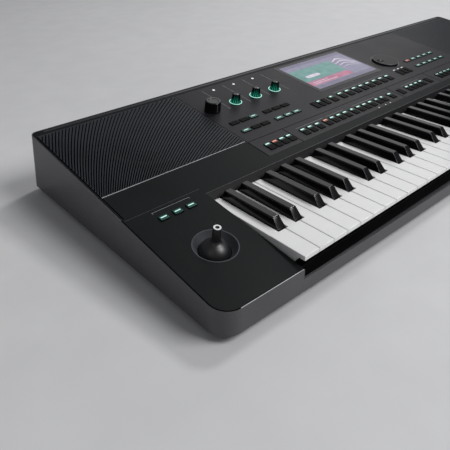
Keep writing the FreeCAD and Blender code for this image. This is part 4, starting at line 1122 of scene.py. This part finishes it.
def build_edges():
    """Painted highlights: pale lines along the grilles and the cheeks' front edges, and a grey one along the
    rear.
    """
    grille_highlights = []
    for side in ("left", "right"):
        low, high = extent(f"speaker_grille_{side}")
        row = [low[1] + inset for inset in GRILLE_HIGHLIGHT_ROW]
        # A pale strip along each grille's front edge: a painted highlight
        grille_highlights.append(slab(low[0] + GRILLE_HIGHLIGHT_INSET, high[0] - GRILLE_HIGHLIGHT_INSET, *row, GRILLE_HIGHLIGHT_TOP, GRILLE_HIGHLIGHT_CORNER))
    piece("grille_edge_highlights", grille_highlights, "case", edge_highlight_paint)
    piece("cheek_edge_highlights", [front_edge_highlight(side) for side in SIDES], "case", edge_highlight_paint)
    # A grey strip along the deck's rear edge: a painted highlight
    row = [extent("top_case")[1][1] - inset for inset in REAR_HIGHLIGHT_ROW]
    rear_highlight_strip = strip(0.0, REAR_HIGHLIGHT_HALF, row, CREASE_TOP, REAR_HIGHLIGHT_CORNER)
    piece("rear_edge_highlight", [rear_highlight_strip], "case", rear_highlight_satin)


build_keys()
build_buttons()
build_volume_knob()
build_assign_knobs()
build_light_rings()
build_dial()
build_joystick()
build_screen()
build_seams()
build_print()
build_edges()


# Floor, light and camera

FLOOR_REACH = 12.0
WORLD_COLOUR = "#e8eaee"
WORLD_STRENGTH = 0.18
AZIMUTH = math.radians(-41.664)
ELEVATION = math.radians(24.229)
ROLL = math.radians(-0.265)
TARGET = (-284.6, 84.9, 50.3)
DISTANCE = 814.1
SENSOR = 36.0
LENS = 43.67
SHIFT = (0.0038, -0.2022)
NEAREST = 0.01
BODY_MIDDLE = (0.0, 0.0, 0.05)
LEFT_CHEEK = (-0.3, 0.0, 0.05)
PANEL_LEFT = (-0.2, 0.0, 0.05)


def pale_floor():
    """A wide pale sheet under the feet, matt paper with a faint drift of shade."""
    paper = moulded(
        "matt_paper_backdrop", "#d6d6d8", "#dededf",
        grain=60.0, depth=0.0, gloss=(0.7, 0.8), edge=0.1, cloud=900.0)
    corners = [(x * FLOOR_REACH, y * FLOOR_REACH, 0) for x, y in ((-1, -1), (1, -1), (1, 1), (-1, 1))]
    mesh = bpy.data.meshes.new("floor")
    mesh.from_pydata(corners, [], [(0, 1, 2, 3)])
    mesh.materials.append(paper)
    floor = bpy.data.objects.new("floor", mesh)
    bpy.context.scene.collection.objects.link(floor)


def softbox(name, place, aim, size, watts):
    """A square area light turned towards a point, in metres."""
    data = bpy.data.lights.new(name, "AREA")
    data.size = size
    data.energy = watts
    lamp = bpy.data.objects.new(name, data)
    lamp.location = place
    lamp.rotation_euler = (Vector(aim) - Vector(place)).to_track_quat("-Z", "Y").to_euler()
    bpy.context.scene.collection.objects.link(lamp)


def studio_world():
    """An even, dim surround."""
    world = bpy.data.worlds.new("studio")
    bpy.context.scene.world = world
    world.use_nodes = True
    inputs = world.node_tree.nodes["Background"].inputs
    inputs["Color"].default_value = linear(WORLD_COLOUR)
    inputs["Strength"].default_value = WORLD_STRENGTH


def photograph_camera():
    """Camera at the photograph's place: turned about a point on the body, with the frame's own offset."""
    back = np.array([math.sin(AZIMUTH) * math.cos(ELEVATION), -math.cos(AZIMUTH) * math.cos(ELEVATION),
                     math.sin(ELEVATION)])
    level = np.array([math.cos(AZIMUTH), math.sin(AZIMUTH), 0.0])
    tip = np.cross(level, -back)
    right = math.cos(ROLL) * level + math.sin(ROLL) * tip
    up = -math.sin(ROLL) * level + math.cos(ROLL) * tip
    place = (np.array(TARGET) + DISTANCE * back) * MM
    data = bpy.data.cameras.new("camera")
    data.sensor_width = SENSOR
    data.lens = LENS
    data.shift_x, data.shift_y = SHIFT
    data.clip_start = NEAREST
    camera = bpy.data.objects.new("camera", data)
    camera.matrix_world = Matrix.Translation(place) @ Matrix(np.stack([right, up, back], 1)).to_4x4()
    bpy.context.scene.collection.objects.link(camera)
    bpy.context.scene.camera = camera


pale_floor()
studio_world()
softbox("key_light", place=(0.9, -1.95, 2.45), aim=BODY_MIDDLE, size=1.6, watts=67.0)
softbox("edge_light", place=(1.6, 0.4, 2.5), aim=PANEL_LEFT, size=0.5, watts=22.0)
softbox("rear_light", place=(2.2, 1.8, 1.4), aim=BODY_MIDDLE, size=1.8, watts=8.0)
softbox("left_light", place=(-2.2, -0.6, 1.6), aim=LEFT_CHEEK, size=1.2, watts=1.5)
photograph_camera()
bpy.context.scene.view_settings.view_transform = "Standard"
